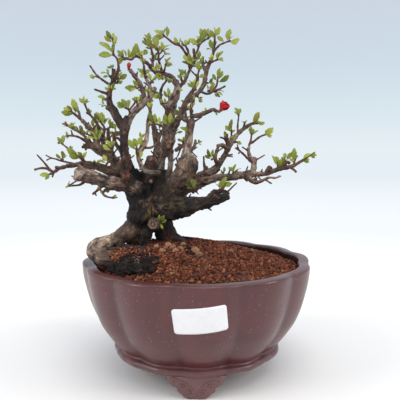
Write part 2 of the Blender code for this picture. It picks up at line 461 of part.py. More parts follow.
         [(14.9, 283, 11, 1.2), (19.4, 288.3, 9, 1.1), (24.5, 290.8, 8, 1), (28, 292, 7, 0.8)]],
        [(14.4, 284.2, 11, (112, 10), (78, 9)),
         (16, 297.4, 11, (92, 9), (62, 9), (122, 8)),
         (28.4, 292.2, 7, (140, 9), (75, 12), (14, 12))]),
    "spray_peak_right": (
        [[(-2.4, 279, 18, 1.2), (0.8, 284.4, 17, 1.1), (2.8, 289.2, 17, 1), (6, 292.4, 17, 0.9),
          (9.5, 294.4, 17, 0.8)]],
        [(1.2, 288.6, 17, (142, 12), (70, 13), (100, 8)),
         (10, 294.6, 17, (110, 11), (80, 11), (142, 8), (46, 8))]),
    "spray_peak_middle": (
        [[(-6.6, 270, 19.2, 1.1), (-6.8, 271, 13, 1), (-6.4, 273, 11, 0.8)],
         [(-6.8, 271.2, 12.6, 1), (1.5, 270.6, 9.4, 0.8)]],
        [(-6.4, 273.4, 11, (116, 11), (90, 9), (140, 8)),
         (1.8, 270.8, 9.4, (112, 8), (58, 9), (150, 8))]),
    "spray_inner_right": (
        [[(16.7, 189.5, 17, 1.2), (13.8, 188.6, 12, 0.9)]],
        [(13.6, 188.6, 12, (120, 10), (94, 9))]),
    "spray_low_right": (
        [[(21.5, 160, -16, 1.3), (24, 163, -19, 1)]],
        [(24.2, 163.2, -19, (122, 11), (78, 11), (100, 8), (50, 8))]),
    "spray_long_right_mid": (
        [[(32, 173.5, 7, 1.2), (32.8, 177, 2, 0.9)]],
        [(32.9, 177.2, 2, (76, 8))]),
    "spray_trunk_right": (
        [[(-4, 163, 3, 1.2), (-3.2, 162, -7, 0.9)],],
        [(-3.2, 162, -8, (100, 10), (150, 9), (168, 8), (78, 8))]),
    "spray_upright_leaf": (
        [[(31.5, 205.5, 32, 1.2), (31.2, 210, 28, 1.1), (31, 214, 26, 0.9)]],
        [(31, 214.4, 26, (130, 9), (92, 11), (55, 8))]),
    "spray_upright_tip": (
        [[(35, 209.4, 34.4, 1.6), (37.2, 211.8, 35.6, 2.2), (41, 215.2, 38, 2.2), (46, 218.5, 40, 2),
          (49.5, 220.4, 41, 1.5), (53.4, 220.4, 42, 0.9)],
         [(37, 212, 35.6, 1.2), (36.6, 218, 38, 1), (37.3, 226, 40, 0.8)],
         [(41.5, 215.8, 38, 1.3), (42.6, 220, 38, 0.9)]],
        [(37.3, 228, 40, (106, 9)),
         (42.7, 220.6, 38, (92, 5)),
         (51, 220.8, 41.4, (82, 5)),
         (54, 220.6, 42, (60, 12), (22, 9), (42, 9), (4, 9))]),
    "spray_riser": (
        [[(47, 200, 12.6, 1.2), (47.3, 202.4, 13.2, 1.3), (51, 204.6, 14, 1.2), (56, 208.4, 15, 1.1),
          (61, 210.7, 16, 0.9)],
         [(47.5, 202.6, 13.2, 1.1), (48.4, 206.4, 14, 1), (49, 211, 15, 0.8)]],
        [(49, 211.4, 15, (70, 8), (44, 9)),
         (61.4, 210.8, 16, (24, 9), (38, 10))]),
    "spray_long_right_tip": (
        [[(67, 177.6, -1.9, 1.8), (69.6, 178.4, -2.4, 2.3), (75, 180.5, -4, 2.4), (81, 181.5, -5, 2.2),
          (87, 183, -6, 1.8), (93, 186.5, -7, 1.4), (98, 190, -8, 1.3), (101.5, 192.3, -8, 1.5)],
         [(84, 182, -5.6, 1.6), (88.3, 178.6, -9, 1.4), (89.5, 177, -10, 1.3)],
         [(77, 181.4, -4, 1.9), (81, 186, -3, 1.9), (83.4, 185, -2, 1.5)],
         [(87.2, 183.4, -6, 1.1), (88.2, 188, -5, 0.9)]],
        [(73, 182, -4, (120, 12), (100, 11), (68, 10), (84, 8)),
         (79.4, 187.4, -3, (58, 9)),
         (88.2, 188.4, -5, (96, 12), (122, 8), (64, 8)),
         (94.6, 187, -7, (14, 8), (52, 8)),
         (102, 192.4, -8, (30, 6))]),
    "spray_back_post": (
        [[(-41, 227, 50.6, 1.4), (-41.6, 232, 53, 1.7), (-43, 240, 56, 1.4), (-43, 248, 58, 1)],
         [(-41.8, 234, 54, 1.2), (-48, 240, 60, 0.9)]],
        [(-43, 248.4, 58, (85, 9), (120, 9), (55, 8)),
         (-48.4, 240.4, 60, (150, 9), (115, 8)),
         (-42, 238, 57, (30, 8))]),
    "spray_back_post_fork": (
        [[(-24.2, 229.6, 54.6, 1.1), (-23.6, 236, 57, 1.2), (-25, 244, 59, 0.9)]],
        [(-25, 244.4, 59, (90, 9), (60, 8), (125, 8)),
         (-23.4, 237, 58, (20, 8))]),
    "spray_back_right": (
        [[(-8, 215, 56.6, 1.4), (-8, 220, 59, 1.6), (-10, 230, 62, 1.3), (-9, 238, 64, 0.9)],
         [(-9, 224, 60, 1.1), (-14, 229, 67, 0.9)]],
        [(-9, 238.4, 64, (90, 9), (60, 8), (125, 8)),
         (-14.4, 229.4, 67, (150, 8), (110, 8))]),
    "spray_back_left": (
        [[(-90, 204, 58.6, 1.3), (-90.6, 208, 61, 1.5), (-92, 216, 64, 1)],
         [(-90.6, 208, 61, 1.1), (-98, 211, 66, 0.9)]],
        [(-92, 216.4, 64, (90, 10), (60, 8), (125, 9)),
         (-98.4, 211.2, 66, (150, 9), (120, 8)),
         (-90, 211, 63, (35, 8))]),
    "spray_back_low_right": (
        [[(19, 171.2, 56.4, 1.5), (22.6, 172, 60, 1.8), (29, 172.6, 66, 1.4), (35, 174, 71, 1)],
         [(24, 172.2, 61, 1.1), (24, 176, 67, 0.9)]],
        [(35.4, 174.2, 71, (30, 9), (60, 8), (0, 8)),
         (24, 176.4, 67, (80, 7))]),
    "spray_back_low_left": (
        [[(-94, 177.7, 55.4, 1.4), (-97, 179, 58.6, 1.6), (-101, 182, 64, 1)],
         [(-96.6, 178.8, 58.2, 1.1), (-91, 182, 64, 0.9)]],
        [(-101.4, 182.2, 64, (170, 8), (135, 9), (100, 8)),
         (-90.6, 182.4, 64, (90, 8), (50, 8))]),
}

# Flower and bud
BLOOM_CENTRE = (22.6, 234.8, -26.5)
BLOOM_FACING = Vector((0.8, -0.55, 0.25))
PETAL_LENGTH = 7.4
PETAL_WIDTH = 6.2
PETAL_ROLL_DEG = 14.0
PETAL_OPENING_DEG = 42.0
PETAL_ROWS = ((0.3, 0.0), (1.0, 0.6), (0.72, 1.0))  # (width share, place) from foot to tip
PETAL_EDGE_DROP = 0.9
PETAL_CUPPING = 1.1
PETAL_RISE = 1.6
PETAL_SEAT = (0.0, 0.9, -0.4)
PETAL_TURN = 0.3
PETALS = 5
CUP_RADII = (0.8, 2.0)
CUP_DEPTH = 4.0
CUP_DROP = -1.6
STAMENS = 7
STAMEN_SEAT = 1.2
STAMEN_RADIUS = 0.3
STAMEN_LENGTH = 2.6
STAMEN_REACHES = (0.8, 1.3)
STAMEN_DISC_RADIUS = 0.75
BUD_CENTRE = (-59.8, 271.6, -9)
BUD_RADIUS = 2.2
BUD_SHAPE = (0.86, 0.86, 1.15)


# Helpers

def new_collection(name):
    collection = bpy.data.collections.new(name)
    bpy.context.scene.collection.children.link(collection)
    return collection


def new_material(name, colour, roughness, metallic):
    material = bpy.data.materials.new(name)
    material.use_nodes = True
    shader = material.node_tree.nodes["Principled BSDF"]
    shader.inputs["Base Color"].default_value = (*colour, 1.0)
    shader.inputs["Roughness"].default_value = roughness
    shader.inputs["Metallic"].default_value = metallic
    material.diffuse_color = (*colour, 1.0)
    return material


def sighted(across, up, depth):
    """The point at this depth on the sight line through (across, up) of the upright plane."""
    share = (depth - EYE.y) / -EYE.y
    return Vector((EYE.x + (across - EYE.x) * share, depth, EYE.z + (up - EYE.z) * share))


def in_world(point):
    return Vector((point.x + POT_AXIS_X, point.y, point.z)) * MM


def sighted_path(points, grow=0.0):
    """World points and radii of a branch, with its radius grown by so many millimetres."""
    path = []
    for across, up, depth, radius in points:
        share = (depth - EYE.y) / -EYE.y
        path.append((in_world(sighted(across, up, depth)), (radius * share + grow) * MM))
    return path


def object_from_bmesh(name, bm, collection):
    bmesh.ops.recalc_face_normals(bm, faces=bm.faces)
    mesh = bpy.data.meshes.new(name)
    bm.to_mesh(mesh)
    bm.free()
    obj = bpy.data.objects.new(name, mesh)
    collection.objects.link(obj)
    return obj


def tube(name, path, sides, collection):
    """A capped tube along the path, as a closed mesh. sides is 4, 6, 8, 10 or 12."""
    curve = bpy.data.curves.new(name, "CURVE")
    curve.dimensions = "3D"
    curve.bevel_depth = 1.0
    curve.bevel_resolution = (sides - 4) // 2
    curve.use_fill_caps = True
    spline = curve.splines.new("POLY")
    spline.points.add(len(path) - 1)
    for spline_point, (position, radius) in zip(spline.points, path):
        spline_point.co = (*position, 1.0)
        spline_point.radius = radius
        spline_point.tilt = math.pi / sides
    obj = bpy.data.objects.new(name, curve)
    collection.objects.link(obj)
    return to_closed_mesh(obj, collection)


def to_closed_mesh(obj, collection):
    """Turns a curve, or an object with modifiers, into a plain mesh with its caps welded."""
    name = obj.name
    mesh = evaluated_mesh(obj)
    bm = bmesh.new()
    bm.from_mesh(mesh)
    bmesh.ops.remove_doubles(bm, verts=bm.verts, dist=1e-6)
    bmesh.ops.recalc_face_normals(bm, faces=bm.faces)
    bm.to_mesh(mesh)
    bm.free()
    solid = bpy.data.objects.new(name + " mesh", mesh)
    solid.matrix_world = obj.matrix_world.copy()
    collection.objects.link(solid)
    bpy.data.objects.remove(obj)
    solid.name = name
    return solid


def remove_objects(objects):
    for obj in objects:
        bpy.data.objects.remove(obj)


def open_edges(mesh):
    """How many edges don't have just two faces."""
    bm = bmesh.new()
    bm.from_mesh(mesh)
    count = sum(not edge.is_manifold for edge in bm.edges)
    bm.free()
    return count


def evaluated_mesh(obj):
    graph = bpy.context.evaluated_depsgraph_get()
    return bpy.data.meshes.new_from_object(obj.evaluated_get(graph))


def apply_boolean(target, others, operation):
    """One Boolean on a collection of the others, applied, after which they are removed."""
    group = new_collection("boolean operands")
    for obj in others:
        group.objects.link(obj)
    modifier = target.modifiers.new("boolean", "BOOLEAN")
    modifier.operation = operation
    modifier.operand_type = "COLLECTION"
    modifier.collection = group
    modifier.solver = "EXACT"
    mesh = evaluated_mesh(target)
    if open_edges(mesh):
        modifier.solver = "MANIFOLD"
        mesh = evaluated_mesh(target)
    target.modifiers.clear()
    target.data = mesh
    remove_objects(list(others))
    bpy.data.collections.remove(group)


def thin_out(obj, share):
    """Keeps so large a share of the faces, first dropping the slivers along the joins."""
    modifier = obj.modifiers.new("fewer faces", "DECIMATE")
    modifier.ratio = share
    mesh = evaluated_mesh(obj)
    obj.modifiers.clear()
    if not open_edges(mesh):
        obj.data = mesh


def keep_largest_body(obj):
    """Drops loose scraps that a Boolean left beside the main body."""
    bm = bmesh.new()
    bm.from_mesh(obj.data)
    bm.verts.ensure_lookup_table()
    seen = set()
    bodies = []
    for start in bm.verts:
        if start in seen:
            continue
        body = []
        open_list = [start]
        seen.add(start)
        while open_list:
            vert = open_list.pop()
            body.append(vert)
            for edge in vert.link_edges:
                other = edge.other_vert(vert)
                if other not in seen:
                    seen.add(other)
                    open_list.append(other)
        bodies.append(body)
    bodies.sort(key=len)
    loose = [vert for body in bodies[:-1] for vert in body]
    bmesh.ops.delete(bm, geom=loose, context="VERTS")
    bm.to_mesh(obj.data)
    bm.free()


def finish(obj, name, material, collection):
    obj.name = name
    obj.data.name = name
    obj.data.materials.clear()
    obj.data.materials.append(material)
    for owner in list(obj.users_collection):
        owner.objects.unlink(obj)
    collection.objects.link(obj)
    return obj


def tree_of(obj):
    """Search tree of a plain mesh, in world space."""
    bm = bmesh.new()
    bm.from_mesh(obj.data)
    bm.transform(obj.matrix_world)
    tree = BVHTree.FromBMesh(bm)
    bm.free()
    return tree


# Pot

def crease_share(angle):
    """1 in a crease between two lobes, 0 at the middle of a lobe."""
    return 1.0 - abs(math.sin(LOBES / 2.0 * (angle - math.radians(FIRST_CREASE_DEG))))


def profile_at(profile, height):
    """(radius, crease depth) of a profile at a height, by straight lines between its points."""
    rows = sorted(profile, key=lambda row: row[1])
    if height <= rows[0][1]:
        return rows[0][0], rows[0][2]
    for low, high in zip(rows, rows[1:]):
        if height <= high[1]:
            share = (height - low[1]) / (high[1] - low[1])
            return (low[0] + (high[0] - low[0]) * share, low[2] + (high[2] - low[2]) * share)
    return rows[-1][0], rows[-1][2]


def pot_outer_radius(angle, height):
    radius, crease = profile_at(POT_OUTSIDE, height)
    return radius - crease * crease_share(angle)


def turned_with_lobes(name, profile, collection):
    """Turns a profile of (radius, height, crease depth) and pulls its creases in."""
    bm = bmesh.new()
    start = math.radians(FIRST_CREASE_DEG)
    closed = profile[0][0] > 0.0
    verts = [bm.verts.new((row[0] * math.cos(start), row[0] * math.sin(start), row[1]))
             for row in profile]
    edges = [bm.edges.new(pair) for pair in zip(verts, verts[1:])]
    if closed:
        edges.append(bm.edges.new((verts[-1], verts[0])))
    bmesh.ops.spin(bm, geom=verts + edges, axis=(0, 0, 1), cent=(0, 0, 0), angle=math.tau,
                   steps=LOBES * LOBE_STEPS, use_merge=True)
    bmesh.ops.remove_doubles(bm, verts=bm.verts, dist=1e-4)
    for vert in bm.verts:
        radius = math.hypot(vert.co.x, vert.co.y)
        if radius < 0.01:
            continue
        nearest = min(profile, key=lambda row: abs(row[0] - radius) + abs(row[1] - vert.co.z))
        share = 1.0 - nearest[2] * crease_share(math.atan2(vert.co.y, vert.co.x)) / radius
        vert.co.x *= share
        vert.co.y *= share
    for vert in bm.verts:
        vert.co = in_world(vert.co)
    return object_from_bmesh(name, bm, collection)


def upright_cylinder(radius, bottom, top, sides, collection):
    bm = bmesh.new()
    bmesh.ops.create_cone(bm, cap_ends=True, segments=sides, radius1=radius, radius2=radius,
                          depth=top - bottom)
    for vert in bm.verts:
        vert.co = in_world(vert.co + Vector((0, 0, (top + bottom) / 2)))
    return object_from_bmesh("cylinder", bm, collection)


def pot_foot(angle_deg, collection):
    """A cloud-shaped foot: its outline pushed through the foot's thickness."""
    bm = bmesh.new()
    outline = FOOT_OUTLINE + [(-x, z) for x, z in reversed(FOOT_OUTLINE)]
    verts = [bm.verts.new((x, -FOOT_OUTER_RADIUS, z)) for x, z in outline]
    face = bm.faces.new(verts)
    pushed = bmesh.ops.extrude_face_region(bm, geom=[face])
    moved = [part for part in pushed["geom"] if isinstance(part, bmesh.types.BMVert)]
    bmesh.ops.translate(bm, verts=moved, vec=(0, FOOT_THICKNESS, 0))
    for vert in moved:
        vert.co.x *= FOOT_BACK_SHARE
    half_sole = FOOT_OUTLINE[0][0]
    for vert in bm.verts:
        if vert.co.z < FOOT_OUTLINE[1][1] / 2:
            vert.co.z = SOLE_SLOPES[0] * (half_sole - vert.co.x)
            vert.co.z += SOLE_SLOPES[1] * (vert.co.y + FOOT_OUTER_RADIUS)
    bmesh.ops.rotate(bm, verts=bm.verts, cent=(0, 0, 0),
                     matrix=Matrix.Rotation(math.radians(angle_deg + 90.0), 3, "Z"))
    for vert in bm.verts:
        vert.co = in_world(vert.co)
    return object_from_bmesh("foot", bm, collection)


def pot(material, parts, work):
    body = turned_with_lobes("pot", POT_OUTSIDE + POT_BASE + POT_INSIDE, work)
    feet = [pot_foot(angle, work) for angle in FOOT_ANGLES_DEG]
    apply_boolean(body, feet, "UNION")
    drain = upright_cylinder(DRAIN_RADIUS, FLANGE_BOTTOM - CUT_MARGIN, FLOOR_TOP + CUT_MARGIN,
                             DRAIN_SIDES, work)
    apply_boolean(body, [drain], "DIFFERENCE")
    finish(body, "pot", material, parts)
    body.data.shade_smooth()
    body.data.set_sharp_from_angle(angle=math.radians(SHARP_DEG))
    return body


# Soil

def soil_height(x, y, lobe_radius):
    """Height of the soil surface, mounded round the trunk and level near the wall."""
    share = min(1.0, math.hypot(x, y) / lobe_radius)
    spread = ((x - SOIL_PEAK[0]) / SOIL_SPREAD[0]) ** 2 + ((y - SOIL_PEAK[1]) / SOIL_SPREAD[1]) ** 2
    return SOIL_EDGE + SOIL_RISE * (1.0 - share ** 3) * math.exp(-0.5 * spread)


def soil_rows():
    """Profile of the soil from under its middle, up the wall and back to the middle of its top."""
    def wall_row(height):
        radius, crease = profile_at(POT_INSIDE, height)
        return (radius - SOIL_WALL_GAP, height, crease)

    bottom = FLOOR_TOP + SEAT_GAP
    rows = [(0.0, bottom, 0.0), (POT_INSIDE[0][0] - 1.0, bottom, 0.0)]
    rows += [wall_row(row[1]) for row in POT_INSIDE[1:4]]
    edge = wall_row(SOIL_EDGE)
    rows += [(edge[0] - SOIL_CORNER, SOIL_EDGE, edge[2])]
    for ring in reversed(SOIL_RINGS):
        rows.append((edge[0] * ring, SOIL_EDGE + SOIL_LIFT, edge[2] * ring))
    rows.append((0.0, SOIL_EDGE + SOIL_LIFT, 0.0))
    return rows, edge[0]


def root_hole(points, collection):
    """A tube that clears a root or a leg of the trunk all round and past its ends."""
    path = sighted_path(points, grow=ROOT_GAP)
    for end, inner in ((0, 1), (-1, -2)):
        outward = (path[end][0] - path[inner][0]).normalized()
        path[end] = (path[end][0] + outward * ROOT_GAP * MM, path[end][1])
    return tube("root hole", path, branch_sides(points), collection)


def soil(material, parts, work):
    rows, edge_radius = soil_rows()
    body = turned_with_lobes("soil", rows, work)
    for vert in body.data.vertices:
        x = vert.co.x / MM - POT_AXIS_X
        y = vert.co.y / MM
        if vert.co.z / MM < SOIL_EDGE + SOIL_LIFT / 2:
            continue
        coarse = noise.noise(Vector((x, y, 0.0)) * COARSE_GRAIN)
        grain = coarse + noise.noise(Vector((y, x, 7.0)) * FINE_GRAIN)
        vert.co.z = (soil_height(x, y, edge_radius) + GRAIN_RELIEF * grain) * MM
    cutters = new_collection("cutters")
    holes = []
    for group in (TRUNK, SURFACE_ROOTS):
        holes += [root_hole(points, cutters) for points in group.values()]
    for hole in holes:
        hole.hide_render = True
        hole.display_type = "WIRE"
    joined = holes[0]
    apply_boolean(joined, holes[1:], "UNION")
    pocket = upright_cylinder(SCREEN_POCKET_RADIUS, FLOOR_TOP - CUT_MARGIN, SCREEN_POCKET_TOP,
                              SCREEN_POCKET_SIDES, cutters)
    apply_boolean(body, [joined, pocket], "DIFFERENCE")
    bpy.data.collections.remove(cutters)
    keep_largest_body(body)
    thin_out(body, SOIL_SHARE)
    return finish(body, "soil", material, parts)


# Drain screen, its clip and the label

def drain_screen(material, parts, work):
    bm = bmesh.new()
    bottom = FLOOR_TOP + SEAT_GAP
    box = bmesh.ops.create_cube(bm, size=1.0)["verts"]
    bmesh.ops.scale(bm, verts=box, vec=(SCREEN_SIDE, SCREEN_SIDE, SCREEN_THICKNESS))
    bmesh.ops.translate(bm, verts=box, vec=(0, 0, bottom + SCREEN_THICKNESS / 2))
    for vert in bm.verts:
        vert.co = in_world(vert.co)
    plate = object_from_bmesh("drain screen", bm, work)
    pitch = SCREEN_SIDE / SCREEN_OPENINGS
    openings = []
    for row in range(SCREEN_OPENINGS):
        for column in range(SCREEN_OPENINGS):
            bm = bmesh.new()
            box = bmesh.ops.create_cube(bm, size=1.0)["verts"]
            bmesh.ops.scale(bm, verts=box, vec=(pitch - SCREEN_BAR, pitch - SCREEN_BAR, CUT_MARGIN))
            middle = Vector(((column + 0.5) * pitch - SCREEN_SIDE / 2,
                             (row + 0.5) * pitch - SCREEN_SIDE / 2, bottom + SCREEN_THICKNESS / 2))
            bmesh.ops.translate(bm, verts=box, vec=middle)
            for vert in bm.verts:
                vert.co = in_world(vert.co)
            openings.append(object_from_bmesh("screen opening", bm, work))
    apply_boolean(plate, openings, "DIFFERENCE")
    return finish(plate, "drain_screen", material, parts)


def screen_clip(material, parts, work):
    """A wire staple over the screen, down the drain hole and bent out under the floor."""
    reach = SCREEN_SIDE / SCREEN_OPENINGS
    top = FLOOR_TOP + SEAT_GAP + SCREEN_THICKNESS + SEAT_GAP + CLIP_RADIUS
    under = FLANGE_BOTTOM - SEAT_GAP - CLIP_RADIUS
    half = [(reach - CLIP_BEND, top), (reach, top - CLIP_BEND), (reach, under + CLIP_BEND),
            (reach + CLIP_BEND, under), (DRAIN_RADIUS + CLIP_FOOT, under)]
    points = [(-x, z) for x, z in reversed(half)] + half
    path = [(in_world(Vector((x, 0.0, z))), CLIP_RADIUS * MM) for x, z in points]
    return finish(tube("screen clip", path, 6, work), "screen_clip", material, parts)


def label(material, parts, work):
    """A blank sticker that follows the front lobe of the pot."""
    bm = bmesh.new()
    grid = bmesh.ops.create_grid(bm, x_segments=8, y_segments=2, size=0.5)["verts"]
    turn = Matrix.Rotation(math.radians(LABEL_TILT_DEG), 2)
    for vert in grid:
        across = vert.co.x * LABEL_SIZE[0]
        up = vert.co.y * LABEL_SIZE[1]
        on_corner = abs(vert.co.x) > 0.49 and abs(vert.co.y) > 0.49
        if on_corner:
            across -= math.copysign(LABEL_CORNER, across)
            up -= math.copysign(LABEL_CORNER, up)
        flat = turn @ Vector((across, up))
        height = LABEL_HEIGHT + flat.y
        middle_radius = profile_at(POT_OUTSIDE, height)[0]
        angle = math.radians(LABEL_CENTRE_DEG - 90.0) + flat.x / middle_radius
        radius = pot_outer_radius(angle, height) + LABEL_GAP
        vert.co = (radius * math.cos(angle), radius * math.sin(angle), height)
    bmesh.ops.recalc_face_normals(bm, faces=bm.faces)
    if sum(face.normal.y for face in bm.faces) > 0:
        bmesh.ops.reverse_faces(bm, faces=bm.faces)
    bmesh.ops.solidify(bm, geom=bm.faces, thickness=-LABEL_THICKNESS)
    for vert in bm.verts:
        vert.co = in_world(vert.co)
    return finish(object_from_bmesh("label", bm, work), "label", material, parts)


# Tree

def branch_sides(points):
    thickest = max(point[3] for point in points)
    if thickest > THICK_BRANCH:
        return 8
    return 6 if thickest > MIDDLING_BRANCH else 4


def tree_wood(material, parts, work):
    tubes = []
    for group in (TRUNK, SURFACE_ROOTS, LIMBS, TWIGS):
        for name, points in group.items():
            tubes.append(tube(name, sighted_path(points), branch_sides(points), work))
    body = tubes[0]
    apply_boolean(body, tubes[1:], "UNION")
    hollow = tube("hollow end", sighted_path(HOLLOW_END), 8, work)
    apply_boolean(body, [hollow], "DIFFERENCE")
    keep_largest_body(body)
    thin_out(body, WOOD_SHARE)
    return finish(body, "tree_wood", material, parts)


# Sprays

def rooted_path(points, wood, extra):
    """The path of a stem from its seat on the wood, which its first points may lie inside."""
    path = sighted_path(points)
    for index in range(len(path) - 1, 0, -1):
        tip, root = path[index][0], path[index - 1][0]
        toward = root - tip
        reach = SEAT_REACH * MM
        hit, normal, _, distance = wood.ray_cast(tip, toward.normalized(), toward.length + reach)
        if hit is None or distance > toward.length + (reach if index == 1 else 0.0):
            continue
        out = -toward.normalized()
        slope = max(FLATTEST_SEAT, abs(normal.dot(out)))
        radius = path[index - 1][1]
        lift = (SEAT_GAP * MM + radius * math.sqrt(1.0 - min(1.0, slope) ** 2)) / slope + extra * MM
        seat = hit + out * lift
        if (path[index][0] - seat).dot(out) < SHORTEST_STRETCH * MM:
            return [(seat, radius)] + [(tip + out * MM, path[index][1])] + path[index + 1:]
        return [(seat, radius)] + path[index:]
    return path


def spot_near(path, point):
    """(distance from the point, distance from the root) of the nearest place on a path."""
    spots = []
    walked = 0.0
    for (start, _), (end, _) in zip(path, path[1:]):
        along = end - start
        share = min(1.0, max(0.0, (point - start).dot(along) / along.length_squared))
        spots.append(((start + along * share - point).length, walked + along.length * share))
        walked += along.length
    return min(spots)


def spot_at(path, distance):
    """(position, direction of growth) at a distance from the root of a path."""
    for (start, _), (end, _) in zip(path, path[1:]):
        along = end - start
        if distance <= along.length or end == path[-1][0]:
            return start + along.normalized() * distance, along.normalized()
        distance -= along.length


def path_length(path):
    return sum((end - start).length for (start, _), (end, _) in zip(path, path[1:]))


def leaf_feet(path, centre, pairs):
    """Feet of a rosette's leaves, spaced along their stem with the most upright outermost."""
    last = path_length(path) - TIP_MARGIN * MM
    first = centre - (len(pairs) - 1) / 2 * LEAF_SPACING * MM
    first = min(first, last - (len(pairs) - 1) * LEAF_SPACING * MM)
    growth = spot_at(path, min(centre, last))[1]

    def upright(pair):
        return growth.x * math.cos(math.radians(pair[0])) + growth.z * math.sin(math.radians(pair[0]))

    order = sorted(pairs, key=upright)
    return [(spot_at(path, max(TIP_MARGIN * MM, first + order.index(pair) * LEAF_SPACING * MM))[0], *pair)
            for pair in pairs]


def rooted_stem(name, points, wood, sides, work):
    """The path and tube of a spray's main stem, lifted off the wood until it clears it."""
    for step in range(SEAT_LIFTS):
        path = rooted_path(points, wood, step * SEAT_GAP)
        stem = tube(name, path, sides, work)
        if not tree_of(stem).overlap(wood):
            break
        if step < SEAT_LIFTS - 1:
            bpy.data.objects.remove(stem)
    return path, stem


def spray_stems(name, stems, rosettes, wood, work):
    """Tubes of a spray, with a spur to each rosette off its stems, and the feet of its leaves."""
    sides = [6 if max(point[3] for point in stem) > THICK_STEM else 4 for stem in stems]
    first_path, first_tube = rooted_stem(name, stems[0], wood, sides[0], work)
    paths = [first_path] + [sighted_path(stem) for stem in stems[1:]]
    tubes = [first_tube]
    tubes += [tube(name, path, count, work) for path, count in zip(paths[1:], sides[1:])]
    feet = []
    for across, up, depth, *pairs in rosettes:
        base = in_world(sighted(across, up, depth))
        (gap, centre), path = min(((spot_near(path, base), path) for path in paths),
                                  key=lambda entry: entry[0])
        if gap > ON_STEM_REACH * MM:
            path = [(spot_at(path, centre)[0], SPUR_RADIUS * MM), (base, SPUR_RADIUS * MM)]
            tubes.append(tube(name, path, 4, work))
            centre = gap
        feet.append(leaf_feet(path, centre, pairs))
    return tubes, feet


def leaf_draw(seed, attempt):
    """Seeded draw of a leaf's lean out of the upright plane, its turn and its arch."""
    draw = random.Random(f"{seed} {attempt}")
    lean = draw.uniform(-LEAN_LIMIT, LEAN_LIMIT)
    turn = draw.uniform(-TURN_LIMIT, TURN_LIMIT)
    return lean, turn, draw.uniform(*ARCH_RANGE)


def leaf_frame(base, angle_deg, length, lean, turn):
    """Matrix that puts a blade, which lies along +Y with its face up +Z, on its rosette."""
    angle = math.radians(angle_deg)
    flat = math.sqrt(1.0 - lean * lean)
    along = Vector((math.cos(angle) * flat, lean, math.sin(angle) * flat))
    face = Vector((0.0, -1.0, FACE_UP))
    face = (face - along * face.dot(along)).normalized()
    side = along.cross(face)
    face = face * math.cos(turn) + side * math.sin(turn)
    side = along.cross(face)
    real_length = length / max(LEAST_FLAT_SHARE, flat)
    matrix = Matrix((side, along, face)).transposed().to_4x4()
    matrix.translation = base
    return matrix, real_length


def blade(length, arch, grow=0.0):
    """A spoon-shaped blade in millimetres: pointed foot, widest past its middle, blunt tip."""
    shares, places = BLADE_ROWS[2]
    if length < LONG_BLADE:
        shares, places = BLADE_ROWS[1]
    if length < SHORT_BLADE:
        shares, places = BLADE_ROWS[0]
    rows = len(shares) - 1
    bm = bmesh.new()
    bmesh.ops.create_grid(bm, x_segments=1, y_segments=rows, size=0.5)
    for vert in bm.verts:
        row = round((vert.co.y + 0.5) * rows)
        place = places[row]
        half_width = length * BLADE_WIDTH_SHARE / 2 * shares[row]
        vert.co.x = math.copysign(half_width + grow * (half_width > 0.0), vert.co.x)
        vert.co.y = place * length
        vert.co.z = arch * length * place * (3.0 - 4.0 * place) + BLADE_THICKNESS / 2 + grow
    bmesh.ops.remove_doubles(bm, verts=bm.verts, dist=0.01)
    bmesh.ops.triangulate(bm, faces=bm.faces)
    bmesh.ops.recalc_face_normals(bm, faces=bm.faces)
    bmesh.ops.solidify(bm, geom=bm.faces, thickness=BLADE_THICKNESS + 2 * grow)
    bmesh.ops.scale(bm, verts=bm.verts, vec=(MM, MM, MM))
    return bm


def fattened_blade(length, arch, matrix, grow):
    """Search tree of a slightly larger blade, for testing what a leaf would cross."""
    bm = blade(length, arch, grow)
    bm.transform(matrix)
    tree = BVHTree.FromBMesh(bm)
    bm.free()
    return tree


def place_leaf(seed, base, angle, length, obstacles, own, work):
    """The first drawn position of a leaf that crosses nothing outside its own spray.

    The first draws keep its outer part clear of its own spray's leaves too."""
    attempt = 0
    for shortening in SHORTENINGS:
        for keep_clear in [own] * FREE_TRIES + [[]] * CROSSING_TRIES:
            attempt += 1
            lean, turn, arch = leaf_draw(seed, attempt)
            matrix, real_length = leaf_frame(base, angle, length * shortening, lean, turn)
            test = fattened_blade(real_length, arch, matrix, LEAF_CLEARANCE)
            if any(test.overlap(tree) for tree in obstacles):
                continue
            slim = fattened_blade(real_length, arch, matrix, OWN_CLEARANCE)
            if any(slim.overlap(tree) for tree in keep_clear):
                continue
            bm = blade(real_length, arch)
            bm.transform(matrix)
            return object_from_bmesh("leaf", bm, work), test, slim
    return None, None, None


def leafy_sprays(material, parts, work, wood_obj):
    wood = tree_of(wood_obj)
    stems = {}
    feet = {}
    stem_trees = {}
    for name, (paths, rosettes) in SPRAYS.items():
        stems[name], feet[name] = spray_stems(name, paths, rosettes, wood, work)
        stem_trees[name] = [tree_of(stem) for stem in stems[name]]
    others_leaves = []
    made = 0
    for name in SPRAYS:
        obstacles = [tree for other, trees in stem_trees.items() if other != name for tree in trees]
        leaves = []
        tests = []
        own = []
        for index, rosette in enumerate(feet[name]):
            for foot, angle, length in rosette:
                seed = f"{name} {index} {angle}"
                leaf, test, slim = place_leaf(seed, foot, angle, length,
                                              [wood, *obstacles, *others_leaves], own, work)
                if leaf:
                    leaves.append(leaf)
                    tests.append(test)
                    own.append(slim)
        others_leaves += tests
        body = stems[name][0]
        apply_boolean(body, stems[name][1:] + leaves, "UNION")
        keep_largest_body(body)
        thin_out(body, SPRAY_SHARE)
        finish(body, name, material, parts)
        made += len(leaves)
    print(f"{made} leaves on {len(SPRAYS)} sprays")


# Flower and bud

def facing_matrix(centre, facing):
    turn = facing.normalized().to_track_quat("Z", "Y").to_matrix().to_4x4()
    turn.translation = in_world(sighted(*centre))
    return turn


